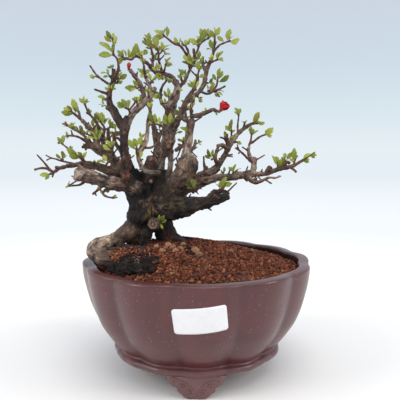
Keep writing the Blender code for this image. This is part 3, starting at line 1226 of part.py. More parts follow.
def petal(index, matrix, work):
    """A rounded, cupped petal that springs from the flower's cup."""
    bm = bmesh.new()
    bmesh.ops.create_grid(bm, x_segments=2, y_segments=2, size=0.5)
    for vert in bm.verts:
        row = round((vert.co.y + 0.5) * 2)
        side = vert.co.x * 2.0
        share, place = PETAL_ROWS[row]
        vert.co.x = side * PETAL_WIDTH / 2 * share
        vert.co.y = PETAL_LENGTH * place - PETAL_EDGE_DROP * side * side * (row == 2)
        vert.co.z = PETAL_CUPPING * side * side * share + PETAL_RISE * place * place
    bmesh.ops.triangulate(bm, faces=bm.faces)
    bmesh.ops.recalc_face_normals(bm, faces=bm.faces)
    bmesh.ops.solidify(bm, geom=bm.faces, thickness=BLADE_THICKNESS)
    lean = Matrix.Rotation(math.radians(PETAL_OPENING_DEG), 4, "X")
    roll = Matrix.Rotation(math.radians(PETAL_ROLL_DEG), 4, "Y")
    shift = Matrix.Translation(PETAL_SEAT)
    turn = Matrix.Rotation(math.tau * index / PETALS + PETAL_TURN, 4, "Z")
    bm.transform(turn @ shift @ lean @ roll)
    bmesh.ops.scale(bm, verts=bm.verts, vec=(MM, MM, MM))
    bm.transform(matrix)
    return object_from_bmesh("petal", bm, work)


def bloom(material, parts, work):
    matrix = facing_matrix(BLOOM_CENTRE, BLOOM_FACING)
    bm = bmesh.new()
    bmesh.ops.create_cone(bm, cap_ends=True, segments=8, radius1=CUP_RADII[0],
                          radius2=CUP_RADII[1], depth=CUP_DEPTH)
    bmesh.ops.translate(bm, verts=bm.verts, vec=(0, 0, CUP_DROP))
    bmesh.ops.scale(bm, verts=bm.verts, vec=(MM, MM, MM))
    bm.transform(matrix)
    cup = object_from_bmesh("flower cup", bm, work)
    petals = [petal(index, matrix, work) for index in range(PETALS)]
    apply_boolean(cup, petals, "UNION")
    keep_largest_body(cup)
    return finish(cup, "bloom", material, parts)


def bloom_stamens(material, parts, work):
    """A tuft of stamens on a small disc inside the petals."""
    matrix = facing_matrix(BLOOM_CENTRE, BLOOM_FACING)
    seat = STAMEN_SEAT + SEAT_GAP
    sunk = seat + STAMEN_RADIUS
    radius = STAMEN_RADIUS * MM

    def put(reach, turn, up):
        return matrix @ (Vector((reach * math.cos(turn), reach * math.sin(turn), up)) * MM)

    disc_ends = (put(0, 0, seat), put(0, 0, seat + STAMEN_DISC_RADIUS))
    disc = tube("stamen disc", [(end, STAMEN_DISC_RADIUS * MM) for end in disc_ends], 6, work)
    prongs = []
    for index in range(STAMENS):
        turn = math.tau * index / STAMENS
        foot = put(STAMEN_RADIUS, turn, sunk)
        top = put(STAMEN_REACHES[index % 2], turn, sunk + STAMEN_LENGTH)
        prongs.append(tube("stamen", [(foot, radius), (top, radius)], 4, work))
    apply_boolean(disc, prongs, "UNION")
    return finish(disc, "bloom_stamens", material, parts)


def bud(material, parts, work):
    centre = in_world(sighted(*BUD_CENTRE))
    bm = bmesh.new()
    bmesh.ops.create_uvsphere(bm, u_segments=8, v_segments=6, radius=BUD_RADIUS * MM)
    bmesh.ops.scale(bm, verts=bm.verts, vec=BUD_SHAPE)
    bmesh.ops.translate(bm, verts=bm.verts, vec=centre)
    return finish(object_from_bmesh("bud", bm, work), "bud", material, parts)


def main():
    for obj in list(bpy.data.objects):
        bpy.data.objects.remove(obj)
    parts = new_collection("Flowering quince bonsai")
    work = new_collection("work")
    made = {name: new_material(name, *values) for name, values in MATERIALS.items()}
    pot(made["pot clay"], parts, work)
    soil(made["baked clay grains"], parts, work)
    drain_screen(made["screen plastic"], parts, work)
    screen_clip(made["clip wire"], parts, work)
    label(made["label paper"], parts, work)
    wood = tree_wood(made["bark"], parts, work)
    leafy_sprays(made["young leaves"], parts, work, wood)
    bloom(made["petals"], parts, work)
    bloom_stamens(made["stamens"], parts, work)
    bud(made["petals"], parts, work)
    bpy.data.collections.remove(work)


main()
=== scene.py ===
import itertools
import math
import random

import bmesh
import bpy
import numpy as np
from mathutils import Matrix, Vector, noise
from mathutils.bvhtree import BVHTree


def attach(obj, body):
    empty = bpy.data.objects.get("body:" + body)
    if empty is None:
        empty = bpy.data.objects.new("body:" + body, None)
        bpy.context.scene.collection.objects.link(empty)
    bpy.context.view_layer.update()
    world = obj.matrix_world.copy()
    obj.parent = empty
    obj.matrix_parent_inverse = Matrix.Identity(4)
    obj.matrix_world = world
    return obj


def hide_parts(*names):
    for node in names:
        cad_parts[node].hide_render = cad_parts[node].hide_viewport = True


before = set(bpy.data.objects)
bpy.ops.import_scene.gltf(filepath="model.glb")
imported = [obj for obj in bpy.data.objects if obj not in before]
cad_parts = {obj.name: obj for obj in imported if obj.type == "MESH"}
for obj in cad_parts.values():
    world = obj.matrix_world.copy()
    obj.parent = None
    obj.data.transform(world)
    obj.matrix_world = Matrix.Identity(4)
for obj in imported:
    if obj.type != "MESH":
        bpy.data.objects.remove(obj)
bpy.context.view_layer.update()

# Flowering quince bonsai in a lobed clay pot. The tables below are in millimetres, in a frame
# whose z axis is the pot's own axis. A route point is (across, up, depth, radius), as sighted
# against the upright plane through that axis.

mm = 0.001
potAxis = Vector((19.1, 0.0, 0.0))
eye = Vector((2.9, -455.0, 194.0))  # where the routes are sighted from
fullTurn = 2.0 * math.pi

trunkRoutes = {  # legs, root and cut stub
    "left leg": [(-62,88,2,5),(-57,108,2,8),(-55,124,1,10.5),(-50,140,0,12),(-51,154,2,12),
        (-56,166,2,10.5),(-60,177,0,7.5)],
    "middle leg": [(-50,90,-4,4.5),(-48.5,106,-5,6),(-48,119,-4,6.5),(-44,132,0,9),(-43,141,5,13),
        (-43,153,6,14),(-44,166,5,12),(-45,177,5,7.5)],
    "right leg": [(-22,88,6,5.5),(-24,106,6,8.6),(-26,118,5,9.6),(-32,130,4,10.2),(-34,142,3,12),
        (-33,156,3,12.5),(-33,168,3,10),(-32,179,4,6.5)],
    "right root": [(-26,122,2,7),(-17,115.5,-2,5),(-9,109,-5,3.4),(-3,102,-7,2.2)],
    "cut stub": [(-37,131.5,-2,6),(-40,129.7,-21,5.4)],
}
rootRoutes = {  # roots that lie on the soil
    "looped root": [(-55,130,0,9),(-63,122.5,-5,8.2),(-72,116.5,-11,7),(-81.5,113.3,-16,6),
        (-90,111.3,-22,6.4),(-94,105.5,-30,7),(-89,100,-38,7.4),(-79.5,97.5,-44,7.4),
        (-69,95,-48,7.4),(-57,92,-52,7),(-46,88,-54,5)],
    "low mat": [(-87,98.5,-36,5.4),(-76,91.5,-43,6.4),(-64,88.5,-51,7.6),(-50,86.5,-56,7.6),
        (-38,84,-58,5)],
    "middle mat": [(-84,104,-27,5),(-72,101,-35,7),(-58,97,-40,8.4),(-44,94.5,-42,7.6),
        (-35,91,-42,4.6)],
    "back mat": [(-72,107,-18,5.4),(-60,103,-25,7),(-47,100,-29,7),(-38,96,-30,4.4)],
}
knotRoutes = {  # stubs and the scars of old cuts
    "middle knob": [(-42,168,-2,7.5),(-41.5,180,-3,6.4),(-41.5,186,-4,5.6),(-41.5,190.5,-6,4.4)],
    "left stub": [(-61,168,-12,5.5),(-64,176,-17,4.8),(-65.8,183,-20,4.6),(-66.3,188,-22,4)],
    "post scar": [(-26.6,208,0,2.4),(-26.8,208.4,-6.4,2.3)],
    "post scar low": [(-25.3,199.6,0,2.1),(-25.3,199.6,-6.8,1.9)],
    "trunk scar": [(-41.5,169,-8,2.2),(-41.5,169,-15.5,2)],
    "knob scar": [(-41.3,187.5,-5,2.6),(-41.3,189,-11.5,2.3)],
    "stub scar": [(-66.2,185,-19,2.6),(-66.4,186.5,-26.5,2.4)],
}
limbRoutes = {  # large limbs
    "left post": [(-58,166,0,8.5),(-61,178,-3,7),(-64,190,-7,5),(-65,200,-9,4.2),(-64.5,211,-11,4),
        (-63,221,-12,4.3),(-61,227,-13,3.6)],
    "left crown": [(-65,213,-11,3.4),(-69.5,223,-12,4.2),(-73.5,231,-13,4.2),(-77,238,-14,3.2),
        (-77.5,245,-15,2.8),(-76,252,-15,2.6),(-74,259,-16,2.3),(-73.3,268.5,-17,2)],
    "left reach": [(-62,221,-12,3.8),(-57,229,-13,3.6),(-51,235,-15,3.4),(-45,240.5,-17,3.1),
        (-40,246,-19,2.6),(-36.5,252.5,-20,1.9)],
    "centre left": [(-35,166,3,7),(-33.5,180,3,5),(-31.5,190,3,4),(-28.5,198,2,4.2)],
    "centre right": [(-27,163,0,5),(-24.5,178,-1,3),(-23.5,188,0,2.8),(-24,197,1,4)],
    "centre post": [(-27,191,2,4.2),(-26,202,2,6.2),(-25,212,2,6),(-24.5,221,3,6),(-24,230,6,5.6),
        (-22,238,8,5.2),(-18.5,245,10,3.9),(-17.3,252,12,3.1),(-18,258.5,14,2.5)],
    "swollen limb": [(-27,158,-3,8),(-19.5,168,-10,7.5),(-12.5,175,-14,8.5),(-8.5,182,-16,10),
        (-8.5,188,-16,8.3),(-9,193.5,-15,5.2),(-7.8,200,-14,4),(-6,207,-14,2.9),(-5.3,213,-14,2.6),
        (-4.5,219,-15,3),(-4.5,225,-16,2.6)],
    "wound lip": [(-7,178,-17,6),(-2.2,184.5,-18,4.6)],
    "low right": [(-34,148,-2,12),(-22,145,-8,11),(-11,146,-12,9.8),(0,147.5,-15,7.4),
        (9,149.5,-18,6),(18,152.5,-21,5),(25,154.5,-23,4.2),(29.5,155.5,-24,2.8)],
    "long right": [(-26,154,2,8),(-10,163,5,6.5),(0,166.3,7,5),(10,169.8,8,4.2),(20,172.3,8,3.6),
        (30,172.8,7,3.9),(39,174,5,3.7),(47,175.5,3,4),(54,175.3,1,2.8),(61,175.5,0,2.3),
        (68,177.7,-2,2.6)],
    "upright right": [(-14,164,8,5),(2,172.5,13,4.8),(12,177,17,4.4),(18,181.5,20,3.7),
        (22,187,23,3),(25.5,193,26,2.8),(28.3,199,29,3),(31.5,205,32,2.8),(36,210.5,35,2.4)],
    "broken limb": [(-52,160,-4,8),(-62,165.5,-9,6.8),(-72,166.5,-13,6.3),(-82,168.5,-17,6.3),
        (-92,171.5,-21,6.2),(-101,174,-24,6.2),(-107,176.5,-26,5.4),(-110.5,178.5,-27,3.6)],
    "left long": [(-60,168,0,6),(-72,176,-3,5.2),(-84,180.5,-5,4.4),(-93,183,-7,3.8),
        (-101,184,-8,3.3),(-109,183.6,-10,2.7),(-117,182.4,-11,2.1)],
    "left high": [(-60,172,4,6),(-72,186,9,4.8),(-80,192,13,4.2),(-88,196.5,17,3.8),
        (-94,201,20,3.3),(-98,206,23,2.5)],
    "left high rise": [(-88,197,17,3),(-90.5,206,22,2.8),(-93.5,213,26,2.6),(-98,219,29,2.4),
        (-102.5,223.5,31,2)],
    "back post": [(-38,164,12,8),(-37,180,26,5.4),(-35,196,37,4.2),(-37,212,45,3.1),
        (-41,228,51,2.3)],
    "back right": [(-28,162,14,7),(-18,175,30,5),(-12,188,42,3.8),(-9,202,51,2.9),(-8,216,57,2.2)],
    "back left": [(-50,164,12,7),(-62,177,28,5),(-74,186,42,3.8),(-84,195,52,2.8),
        (-90,205,59,2.1)],
    "back low right": [(-25,158,14,7),(-6,164,32,5),(8,168,46,3.6),(20,171.5,57,2.6)],
    "back low left": [(-52,158,10,6),(-70,166,28,4.4),(-84,172,44,3.2),(-95,178,56,2.2)],
    "front shoot": [(-60,164,-6,5),(-65,177,-24,3.4),(-66.5,187,-34,2.4),(-65,191,-38,2)],
}
twigRoutes = {  # thin branches, bare twigs and stubs
    "left crown rise": [(-73,257,-15,1.8),(-71,263,-18,1.6),(-69,268,-21,1.5),(-69.5,275,-22,1.2)],
    "left crown whip": [(-76,254,-15,1.4),(-82,257.5,-13,1.2),(-87,261.5,-11,1.1),(-91,266,-9,1),
        (-94.5,271.5,-8,0.9)],
    "left crown finger": [(-77.5,246.5,-15,1.7),(-84,248,-18,1.3),(-91,250.7,-20,1)],
    "left crown spur": [(-73.5,258,-16,1.5),(-77.3,262.5,-18,1.2)],
    "left post spur": [(-76,231.5,-14,2),(-81,235,-16,1.4)],
    "reach back": [(-46,240,-16,2.6),(-47.5,248,-14,2.4),(-50,255,-12,2.3),(-54.5,261,-10,2.2),
        (-57.5,266,-9,1.7),(-58.8,268.3,-9,1.4)],
    "reach pale": [(-38.5,248.5,-20,2.2),(-42,254,-24,2),(-45,260,-27,1.7)],
    "front arc": [(-34,176,-4,3.4),(-40,176.5,-13,2.6),(-46,178.5,-19,2.5),(-50.5,184,-24,2.4),
        (-52.5,191,-26,2.3),(-49.5,197,-25,2.4),(-46,203,-24,2.4),(-44.2,212,-24,2.1),
        (-43.8,221,-25,1.8)],
    "arc twig": [(-47,199,-25,1.5),(-40.5,199.3,-28,1.2),(-34.5,204,-30,0.9)],
    "centre fork right": [(-21,216,0,4),(-17,223,-3,3.3),(-13.5,230,-6,3),(-10.5,237,-9,2.7),
        (-7,244,-11,2.5),(-3,250,-12,2.2),(0,257,-13,1.9),(1,264,-14,1.5)],
    "right crown": [(-10,238,-9,2.4),(-4,243.5,-4,2.2),(2,248,2,2.3),(6,254,6,2.3),(7.5,261,8,2.3),
        (9,268,10,2.1),(11.5,273.5,11,1.9),(14,279,11,1.6)],
    "right crown inner": [(8,266,10,1.8),(5.5,272,12,1.5),(5.5,279,13,1.1)],
    "crown bridge": [(-18.5,256,13,2.4),(-22,261.5,13,2.2),(-29,264,11,2.1),(-35,264,9,1.9),
        (-39,268,8,1.8),(-43,272.5,6,1.8),(-48,276.5,4,1.7)],
    "crown left rise": [(-39,267,8,1.7),(-39,275,8,1.4),(-38.5,281,8,1.2)],
    "crown middle rise": [(-29,263,11,1.7),(-32,270,9,1.5),(-34,278,8,1.2)],
    "peak stem": [(-17,250,12,2),(-10.5,258.5,16,1.6),(-7.5,264.5,18,1.5),(-6.3,269,19,1.4),
        (-7.2,275,20,1.3)],
    "peak stub": [(-6.3,268,19,1.5),(-2.3,274,18,1.4),(-2.3,280,18,1.3),(-2.8,286,18,1.3)],
    "low right knob": [(10,152,-18,4),(15,158,-19,3.2),(17,161,-19,2.4)],
    "low right fork": [(14,156,-18,3),(21,160,-16,2.6),(27,158.5,-15,2),(29,157,-14,1.6)],
    "swollen link": [(-8,200,-14,2.6),(-13,200.5,-9,2.2),(-19,196.5,-2,2)],
    "swollen fork": [(-5,221.5,-16,2.4),(-9.5,223,-12,2.2),(-14.5,226.5,-7,2)],
    "long right low": [(46,173,2,2.8),(50.5,168.8,-3,2.4),(55,168,-7,2),(60,170,-10,1.6),
        (65,172.3,-12,1.3),(71,172,-13,1.1),(76,173.8,-14,0.9)],
    "long right knob": [(63,177,-1,2.4),(65.5,180.5,0,3.2),(64,182,1,2.2)],
    "riser": [(49,175,3,3.4),(51.3,181,5,2.9),(51.6,187,7,2.6),(52.3,190.6,8,2)],
    "riser whip": [(48.7,186.5,6,1.5),(43,192.3,2,1.2),(38.5,196.3,-1,1.1),(34.3,199,-3,1)],
    "riser arm": [(51,184.5,6,2.2),(48,190.5,9,1.9),(46.3,196,11,1.6),(47.2,201,13,1.4)],
    "upright side": [(28.5,200,29,2.2),(27.3,206,27,1.6),(27,211.5,26,1.3)],
    "upright hook": [(27.5,202.5,28,1.3),(24.5,207,26,1.1),(20.5,208.5,24,0.9)],
    "upright left": [(27.5,198,28,2.4),(22.5,201.3,25,2),(18,200.5,22,1.6)],
    "upright inner": [(20,183,20,2.4),(16.5,189,17,2),(17.5,195,18,1.8),(19.5,200.5,22,1.5)],
    "upright stub": [(26,191.5,26,1.3),(32.3,193.2,24,0.9)],
    "inner right": [(8,176,15,1.9),(6.5,185,13,1.2),(6.2,191.5,12,1)],
    "broken limb knot": [(-103,172,-26,4.2),(-108.5,171.5,-30,3),(-110.5,171.5,-32,1.6)],
    "broken limb horn": [(-101,177,-25,3.4),(-105,181.5,-27,2.6),(-106.5,184,-28,1.6)],
    "broken limb twig": [(-100,169,-24,1.6),(-105,165.8,-25,1.2)],
    "broken limb drop": [(-85,165,-18,2),(-90,160.5,-19,1.5),(-94.5,157,-20,1.1)],
    "left high knob": [(-95,201,20,2.6),(-100,200.5,20,2.2),(-103,199,20,1.2)],
    "left high flat": [(-97,203.6,21,1.8),(-104,207.6,17,1.3),(-111,209.8,14,1.2),
        (-118,209.3,12,0.9)],
    "left high middle": [(-83,194,14,2.8),(-84,204,8,2.4),(-85,212,3,1.9)],
    "left inner": [(-73,187,8,3.2),(-77.5,198,4,2.4),(-79,208,1,2),(-79,217,-2,1.5)],
    "left post inner": [(-64,192,-7,2.6),(-70.5,199,-9,2),(-74,207,-11,1.6),(-75.3,213,-12,1.2)],
    "back post fork": [(-36,206,42,2.4),(-28,218,50,1.8),(-24,231,55,1.4)],
    "back right fork": [(-11,193,45,2.4),(-3,199,54,1.8),(-1,206,60,1.3)],
    "back left fork": [(-78,189,46,2.2),(-75,202,55,1.7),(-72,214,60,1.3)],
    "front shoot fork": [(-65.7,181,-28,2),(-61.5,188,-34,1.5),(-59.8,193,-37,1.2)],
}
hollowEnd = [(-101,173.6,-24,0.6),(-108,175.6,-25.6,3.4),(-115,177.4,-27.4,4.6)]
sprays = {  # stems, then rosettes: across, up, depth, and (angle, length) of each leaf
    "left_tip": ([[(-115,182.8,-11,1.5),(-118.5,182,-11,2),(-124,180.3,-12,1.9),
        (-129,177.5,-13,1.7),(-134,180,-13,1.4),(-140,180.8,-12,1.2),(-146,179.3,-11,1.1)],
        [(-131,178.3,-13,1.3),(-136,184,-15,1),(-140,189,-17,0.9),(-143.5,192.8,-18,0.8)],
        [(-123.5,180.7,-12,1.7),(-127.5,181.9,-13,1.4)],
        [(-128.5,177.5,-13,1.1),(-130.2,172.6,-12,0.9)]], [
        (-131.5,175.6,-15,(185,9),(208,7))]),
    "left_low": ([[(-108,183.8,-9,1.2),(-114.5,185.6,-5,1.1),(-120.5,187,-3,1),(-126,188.6,-2,0.9),
        (-131,189.9,-1,0.8),(-135.5,192.5,0,0.7)],
        [(-130.5,189.8,-1,0.8),(-134.8,187.9,1,0.7)]], [
        (-121,188.5,-3,(92,9),(130,6),(60,5))]),
    "left_arc": ([[(-98,184,-8,1.5),(-104,189.5,-3,1.3),(-110,193.6,0,1.2),(-115,198,2,1),
        (-120,202,3,0.9)]], [
        (-103.5,190,-4,(140,12),(165,9),(105,9),(62,8)),(-112.5,196.5,1,(100,5),(75,4)),
        (-120.5,202.6,3,(95,9),(128,7),(165,5))]),
    "low_bud": ([[(-103,166.8,-24.6,1.1),(-107,165.4,-25,1.1),(-114,164.8,-26,0.9)]], [
        (-115,164.9,-26,(150,5),(100,4),(205,4))]),
    "under": ([[(-79,164,-14,1.6),(-84.5,158.6,-20,1.3),(-81.5,155.2,-22,1.1),
        (-76,153.8,-23,0.9)]], [
        (-75.8,154,-23,(35,6),(5,4)),(-87.5,161.5,-23,(115,5),(290,4))]),
    "left_dark": ([[(-86,181,-5,1.4),(-81,184.5,-13,1),(-77,192,-18,0.9),(-75.5,198,-20,0.8)]], [
        (-80.5,185,-14,(160,9),(122,8),(40,6)),(-75.8,199,-20,(150,10),(118,9),(85,6))]),
    "left_bright": ([[(-84.5,207,6,1.3),(-87,206,-4,1.1),(-88.5,206,-9,0.9)]], [
        (-88.5,205.5,-9,(135,12),(108,11),(165,9),(62,7),(85,9))]),
    "left_high_tip": ([[(-96.5,204,22,1.6),(-99,207.8,23.5,1.7),(-103,211.5,26,1.6),
        (-109,215,28,1.4),(-115,218.8,30,1.2),(-117.5,222,31,1)]], [
        (-104,212.5,26,(135,9),(98,8),(60,6)),(-110.5,216.5,28,(110,7),(72,6),(140,5)),
        (-116.5,219,30,(170,5),(200,3.5))]),
    "left_crown_tip": ([[(-101.5,222.6,30.5,1.5),(-103.6,224.6,31.6,1.7),(-107,227.4,33,1.5),
        (-111,230.4,34,1.2)],
        [(-103.8,225,31.6,1.4),(-104.8,230,32,1.3)]], [
        (-111.6,231,34,(172,13),(150,11),(96,15),(196,6),(125,9)),
        (-105,230.8,32,(118,8),(142,6))]),
    "left_crown_in": ([[(-85.5,210,4,1.6),(-88.5,219,-3,1.5),(-93.5,226.5,-6,1.3),
        (-98.5,230.5,-8,1)],
        [(-95.5,228,-7,1.2),(-97.7,232.5,-8,1.1),(-99.3,237,-9,0.9)]], [
        (-99.5,237.3,-9,(128,6),(96,8),(62,5)),(-95,228.6,-7,(95,6),(70,4))]),
    "left_mid": ([[(-84,206,6,1.5),(-82.5,216,10,1.3),(-85.5,221.5,12,1)],
        [(-82.8,214.5,9,1.1),(-78,217,13,0.9)]], [
        (-86,222,12,(115,13),(94,12),(68,10),(140,9),(40,6)),(-83.5,215,10,(150,8),(170,6)),
        (-77.4,217.3,13,(50,8),(22,8),(82,7))]),
    "left_post": ([[(-77.5,246,-15,1.2),(-78.4,245,-20,1.1),(-80.4,242,-21,0.9)],
        [(-78.4,245.2,-20,1),(-76.2,249.5,-22,0.9)]], [
        (-80.6,241.8,-21,(165,7),(190,4)),(-76,250.2,-22,(150,7),(112,6),(62,6),(20,4))]),
    "left_post_in": ([[(-74.4,255.5,-15.5,1.2),(-70.6,256.4,-12,1),(-69.6,259.4,-11,0.8)]], [
        (-70.4,256.2,-12,(18,5),(-8,4)),(-69.6,260,-11,(22,9),(62,7),(92,7))]),
    "top_left": ([[(-69.3,273.6,-21.8,1.1),(-70.4,277.6,-22,1.1),(-73.2,281,-22,1),
        (-73,287,-21,0.9),(-73.6,293,-20,0.8)]], [
        (-73.6,281,-22,(137,15),(182,12),(95,10)),(-73.2,288,-21,(70,8),(45,4)),
        (-73.8,293.8,-20,(124,9),(150,8),(85,6))]),
    "top_left_in": ([[(-47.5,276,4,1.4),(-53.4,279.2,2,1.2),(-57.5,276.4,-1,1.1),(-62,277,-3,1),
        (-65.5,278.6,-4,0.9)]], [
        (-61.5,277.4,-3,(58,15),(84,10),(118,9),(100,8)),(-65.8,278.8,-4,(128,7),(155,5)),
        (-64,276.6,-3.6,(218,8),(190,5))]),
    "crown_left": ([[(-47.5,276.4,4,1),(-48.8,279.6,6,0.8)]], [
        (-48.8,279.6,6,(120,12),(94,10),(142,8))]),
    "crown_left_rise": ([[(-38.5,280,8,1),(-39.6,284.6,8,1),(-41.4,288.4,9,0.9),
        (-42.2,291.6,10,0.8)]], [
        (-42.4,292,10,(115,8),(88,8),(142,5)),(-40,285.4,8,(132,12),(98,9),(160,5))]),
    "crown_middle": ([[(-34,277,8,1.1),(-33.8,281,7,1),(-34.6,285,6,0.9)],
        [(-33.6,280.8,7,0.9),(-30.6,283.6,5,0.8)]], [
        (-34.6,285.4,6,(102,14),(76,9),(124,8)),(-30.4,283.9,5,(42,11),(18,6),(70,9))]),
    "peak_left": ([[(-7,273.5,19.8,1.1),(-8.2,278.6,19.5,1.2),(-10.8,283.6,18,1.2),
        (-15,288.3,16,1.2),(-20.5,290.3,14,1.1),(-25,294,12,1),(-28.6,296.8,11,0.8)],
        [(-8.2,278.8,19.5,1.2),(-7.4,283,21,1.2),(-9.6,287.6,21.5,1.1)]], [
        (-29,297.2,11,(150,10),(172,11),(86,9),(66,7)),(-16,290,16,(116,8),(76,6),(148,5)),
        (-9.8,288,21.5,(130,8),(90,7),(48,7))]),
    "crown_bridge": ([[(-29.5,264,11,1.2),(-28.4,268,7,1),(-27.6,271.4,5,0.8)],
        [(-28.8,266.6,8,1),(-34.5,266.2,3,0.8)]], [
        (-27.5,271.8,5,(62,9),(30,10),(92,6),(4,6)),(-35,266.2,3,(112,8),(62,7),(150,8))]),
    "reach_pale": ([[(-44,258,-26,1.3),(-45.6,261.6,-27.5,1.5),(-46.3,267.5,-29,1.3),
        (-47,273,-30,1)],
        [(-45.5,262.4,-27.6,1.1),(-42.4,260.6,-30,1),(-39.6,257.4,-32,0.8)]], [
        (-45.8,262.5,-28,(100,9),(132,8),(60,7)),(-39.2,257,-32,(112,7),(78,6)),
        (-47,273.3,-30,(120,5),(75,4))]),
    "reach_low": ([[(-49.3,253,-12.4,1.2),(-52.2,251.6,-16,0.9)]], [
        (-52.4,251.6,-16,(165,10),(140,8),(116,7),(181,11))]),
    "reach_base": ([[(-58.5,227,-13,1.5),(-60.4,232.6,-17,1.2),(-63,234,-19,0.9)],
        [(-60.2,232.2,-17,1.1),(-56.6,236.4,-20,1),(-54.6,239.4,-21,0.8)]], [
        (-63.2,234.2,-19,(150,9),(120,10),(100,10),(168,6)),
        (-54.4,239.8,-21,(95,5),(62,4),(130,4))]),
    "arc_front": ([[(-52.4,190,-26,1.2),(-54.2,195,-31,1),(-54,198,-32,0.8)],
        [(-54.1,195.6,-31,0.9),(-50.4,199.8,-34,0.8)],
        [(-53.6,194,-30.6,0.9),(-50.4,188.4,-34,0.7)]], [
        (-54,198.4,-32,(124,11),(104,10),(88,7)),(-50.2,200.2,-34,(84,9),(110,6)),
        (-50.3,188.2,-34,(85,7))]),
    "arc_top": ([[(-44,219,-24.8,1.2),(-43.6,223,-25.2,1.6),(-42,230,-26,1.4),(-40.6,236,-26,1.1)],
        [(-43.2,225.4,-25.6,1.1),(-38.4,221,-28.4,1),(-33.6,219.4,-30,0.8)]], [
        (-41,234,-26,(70,6),(120,5)),(-38.2,220.4,-28,(112,8),(88,8)),
        (-33,218.8,-30,(122,8),(92,7),(58,5))]),
    "centre": ([[(-25,217,0,1.2),(-25,218.6,-7,0.9)]], [
        (-25,218.8,-7,(112,11),(80,11),(55,9),(138,7))]),
    "link": ([[(-12.4,200.5,-9,1.1),(-12.2,204,-12,0.8)]], [
        (-12.2,204.2,-12,(118,7),(84,7),(48,5),(154,6))]),
    "centre_left": ([[(-25,232,6,1.6),(-31,238.5,14,1.9),(-32.4,246,18,1.6),(-30.6,253,21,1.4),
        (-27.6,257,22,1)]], [
        (-32.4,243,16,(132,8),(162,8),(60,5)),(-27.2,257.4,22,(60,7),(28,6),(102,6))]),
    "peak_stem": ([[(-12.6,256,15,1.2),(-13.6,260,12,1),(-13.6,263,11,0.8)]], [
        (-13.8,259,12,(104,7),(132,5)),(-13.4,263.4,11,(80,9),(52,6),(118,6))]),
    "right_low_crown": ([[(-3.6,249,-12,1.2),(-3,250.2,-17,1),(-2.4,252,-19,0.8)]], [
        (-2.4,251.4,-19,(112,9),(84,9),(58,7),(142,7))]),
    "right_crown_tip": ([[(0.9,262.6,-13.8,1),(1.8,266.4,-14,0.9)]], [
        (1.9,266.6,-14,(95,8),(122,5),(60,5))]),
    "swollen_top": ([[(-4.5,223,-15.6,1.5),(-4.9,228,-17,1.7),(-5,236,-20,1.5),(-3.6,241,-21,1.2)],
        [(-4.8,227,-17,2.2),(1.5,227.6,-19.4,2.5),(7,229.6,-21,2.2),(12.5,232,-23,2),
         (15.6,233.1,-24.3,1.5),(18.2,231.4,-25.4,1.1),(20,230.4,-26,0.9)]], [
        (-4,231.5,-19,(118,6),(78,6)),(-2.6,240.6,-21,(62,6),(96,5)),
        (8.4,230.6,-21.6,(120,6),(152,6),(80,4)),(16,231.4,-24.2,(-20,5),(-60,4))]),
    "right_crown_out": ([[(3,249,3,1.1),(8.6,246.6,0,1.2),(14,248.2,-2,1.2),(19.6,250.6,-4,1.1),
        (25.5,253.4,-6,0.9)],
        [(14.4,248.8,-2,1.1),(17.6,254,2,1.1),(18.8,260.4,4,0.9)]], [
        (18.9,261,4,(82,9),(124,11),(58,8),(28,12)),(10.6,249.2,-1,(62,8),(100,7),(34,5)),
        (16.8,248.6,-3,(-58,6),(2,8),(-24,7))]),
    "right_crown_side": ([[(11,273,11,1.1),(14.6,274.8,8,1),(17.6,276,6,0.8)]], [
        (18,276.2,6,(52,9),(82,6),(20,6),(0,6)),(14,274.6,8,(100,7),(128,5))]),
    "right_crown_top": ([[(13.4,277.6,11,1.2),(14.8,282.4,11,1.4),(15.6,288,11,1.3),(16,297,11,1)],
        [(14.9,283,11,1.2),(19.4,288.3,9,1.1),(24.5,290.8,8,1),(28,292,7,0.8)]], [
        (14.4,284.2,11,(112,10),(78,9),(150,6)),(16,297.4,11,(92,9),(62,9),(122,8)),
        (28.4,292.2,7,(140,9),(75,12),(14,12),(108,7))]),
    "peak_right": ([[(-2.4,279,18,1.2),(0.8,284.4,17,1.1),(2.8,289.2,17,1),(6,292.4,17,0.9),
        (9.5,294.4,17,0.8)]], [
        (1.2,288.6,17,(142,12),(70,13),(100,8),(164,6)),
        (10,294.6,17,(110,11),(80,11),(142,8),(46,8))]),
    "peak_middle": ([[(-6.6,270,19.2,1.1),(-6.8,271,13,1),(-6.4,273,11,0.8)],
        [(-6.8,271.2,12.6,1),(1.5,270.6,9.4,0.8)]], [
        (-6.4,273.4,11,(116,11),(90,9),(140,8),(60,7)),(1.8,270.8,9.4,(112,8),(58,9),(150,8))]),
    "inner_right": ([[(16.7,189.5,17,1.2),(13.8,188.6,12,0.9)]], [
        (13.6,188.6,12,(120,10),(94,9),(148,7),(62,6))]),
    "low_right": ([[(21.5,160,-16,1.3),(24,163,-19,1)]], [
        (24.2,163.2,-19,(122,11),(78,11),(100,8),(50,8))]),
    "long_right_mid": ([[(32,173.5,7,1.2),(32.8,177,2,0.9)]], [
        (32.9,177.2,2,(130,6),(76,8),(32,7),(104,5))]),
    "trunk_right": ([[(-4,163,3,1.2),(-3.2,162,-7,0.9)]], [
        (-3.2,162,-8,(100,10),(150,9),(168,8),(78,8))]),
    "upright_leaf": ([[(31.5,205.5,32,1.2),(31.2,210,28,1.1),(31,214,26,0.9)]], [
        (31,214.4,26,(130,9),(92,11),(55,8),(112,7))]),
    "upright_tip": ([[(35,209.4,34.4,1.6),(37.2,211.8,35.6,2.2),(41,215.2,38,2.2),(46,218.5,40,2),
        (49.5,220.4,41,1.5),(53.4,220.4,42,0.9)],
        [(37,212,35.6,1.2),(36.6,218,38,1),(37.3,226,40,0.8)],
        [(41.5,215.8,38,1.3),(42.6,220,38,0.9)]], [
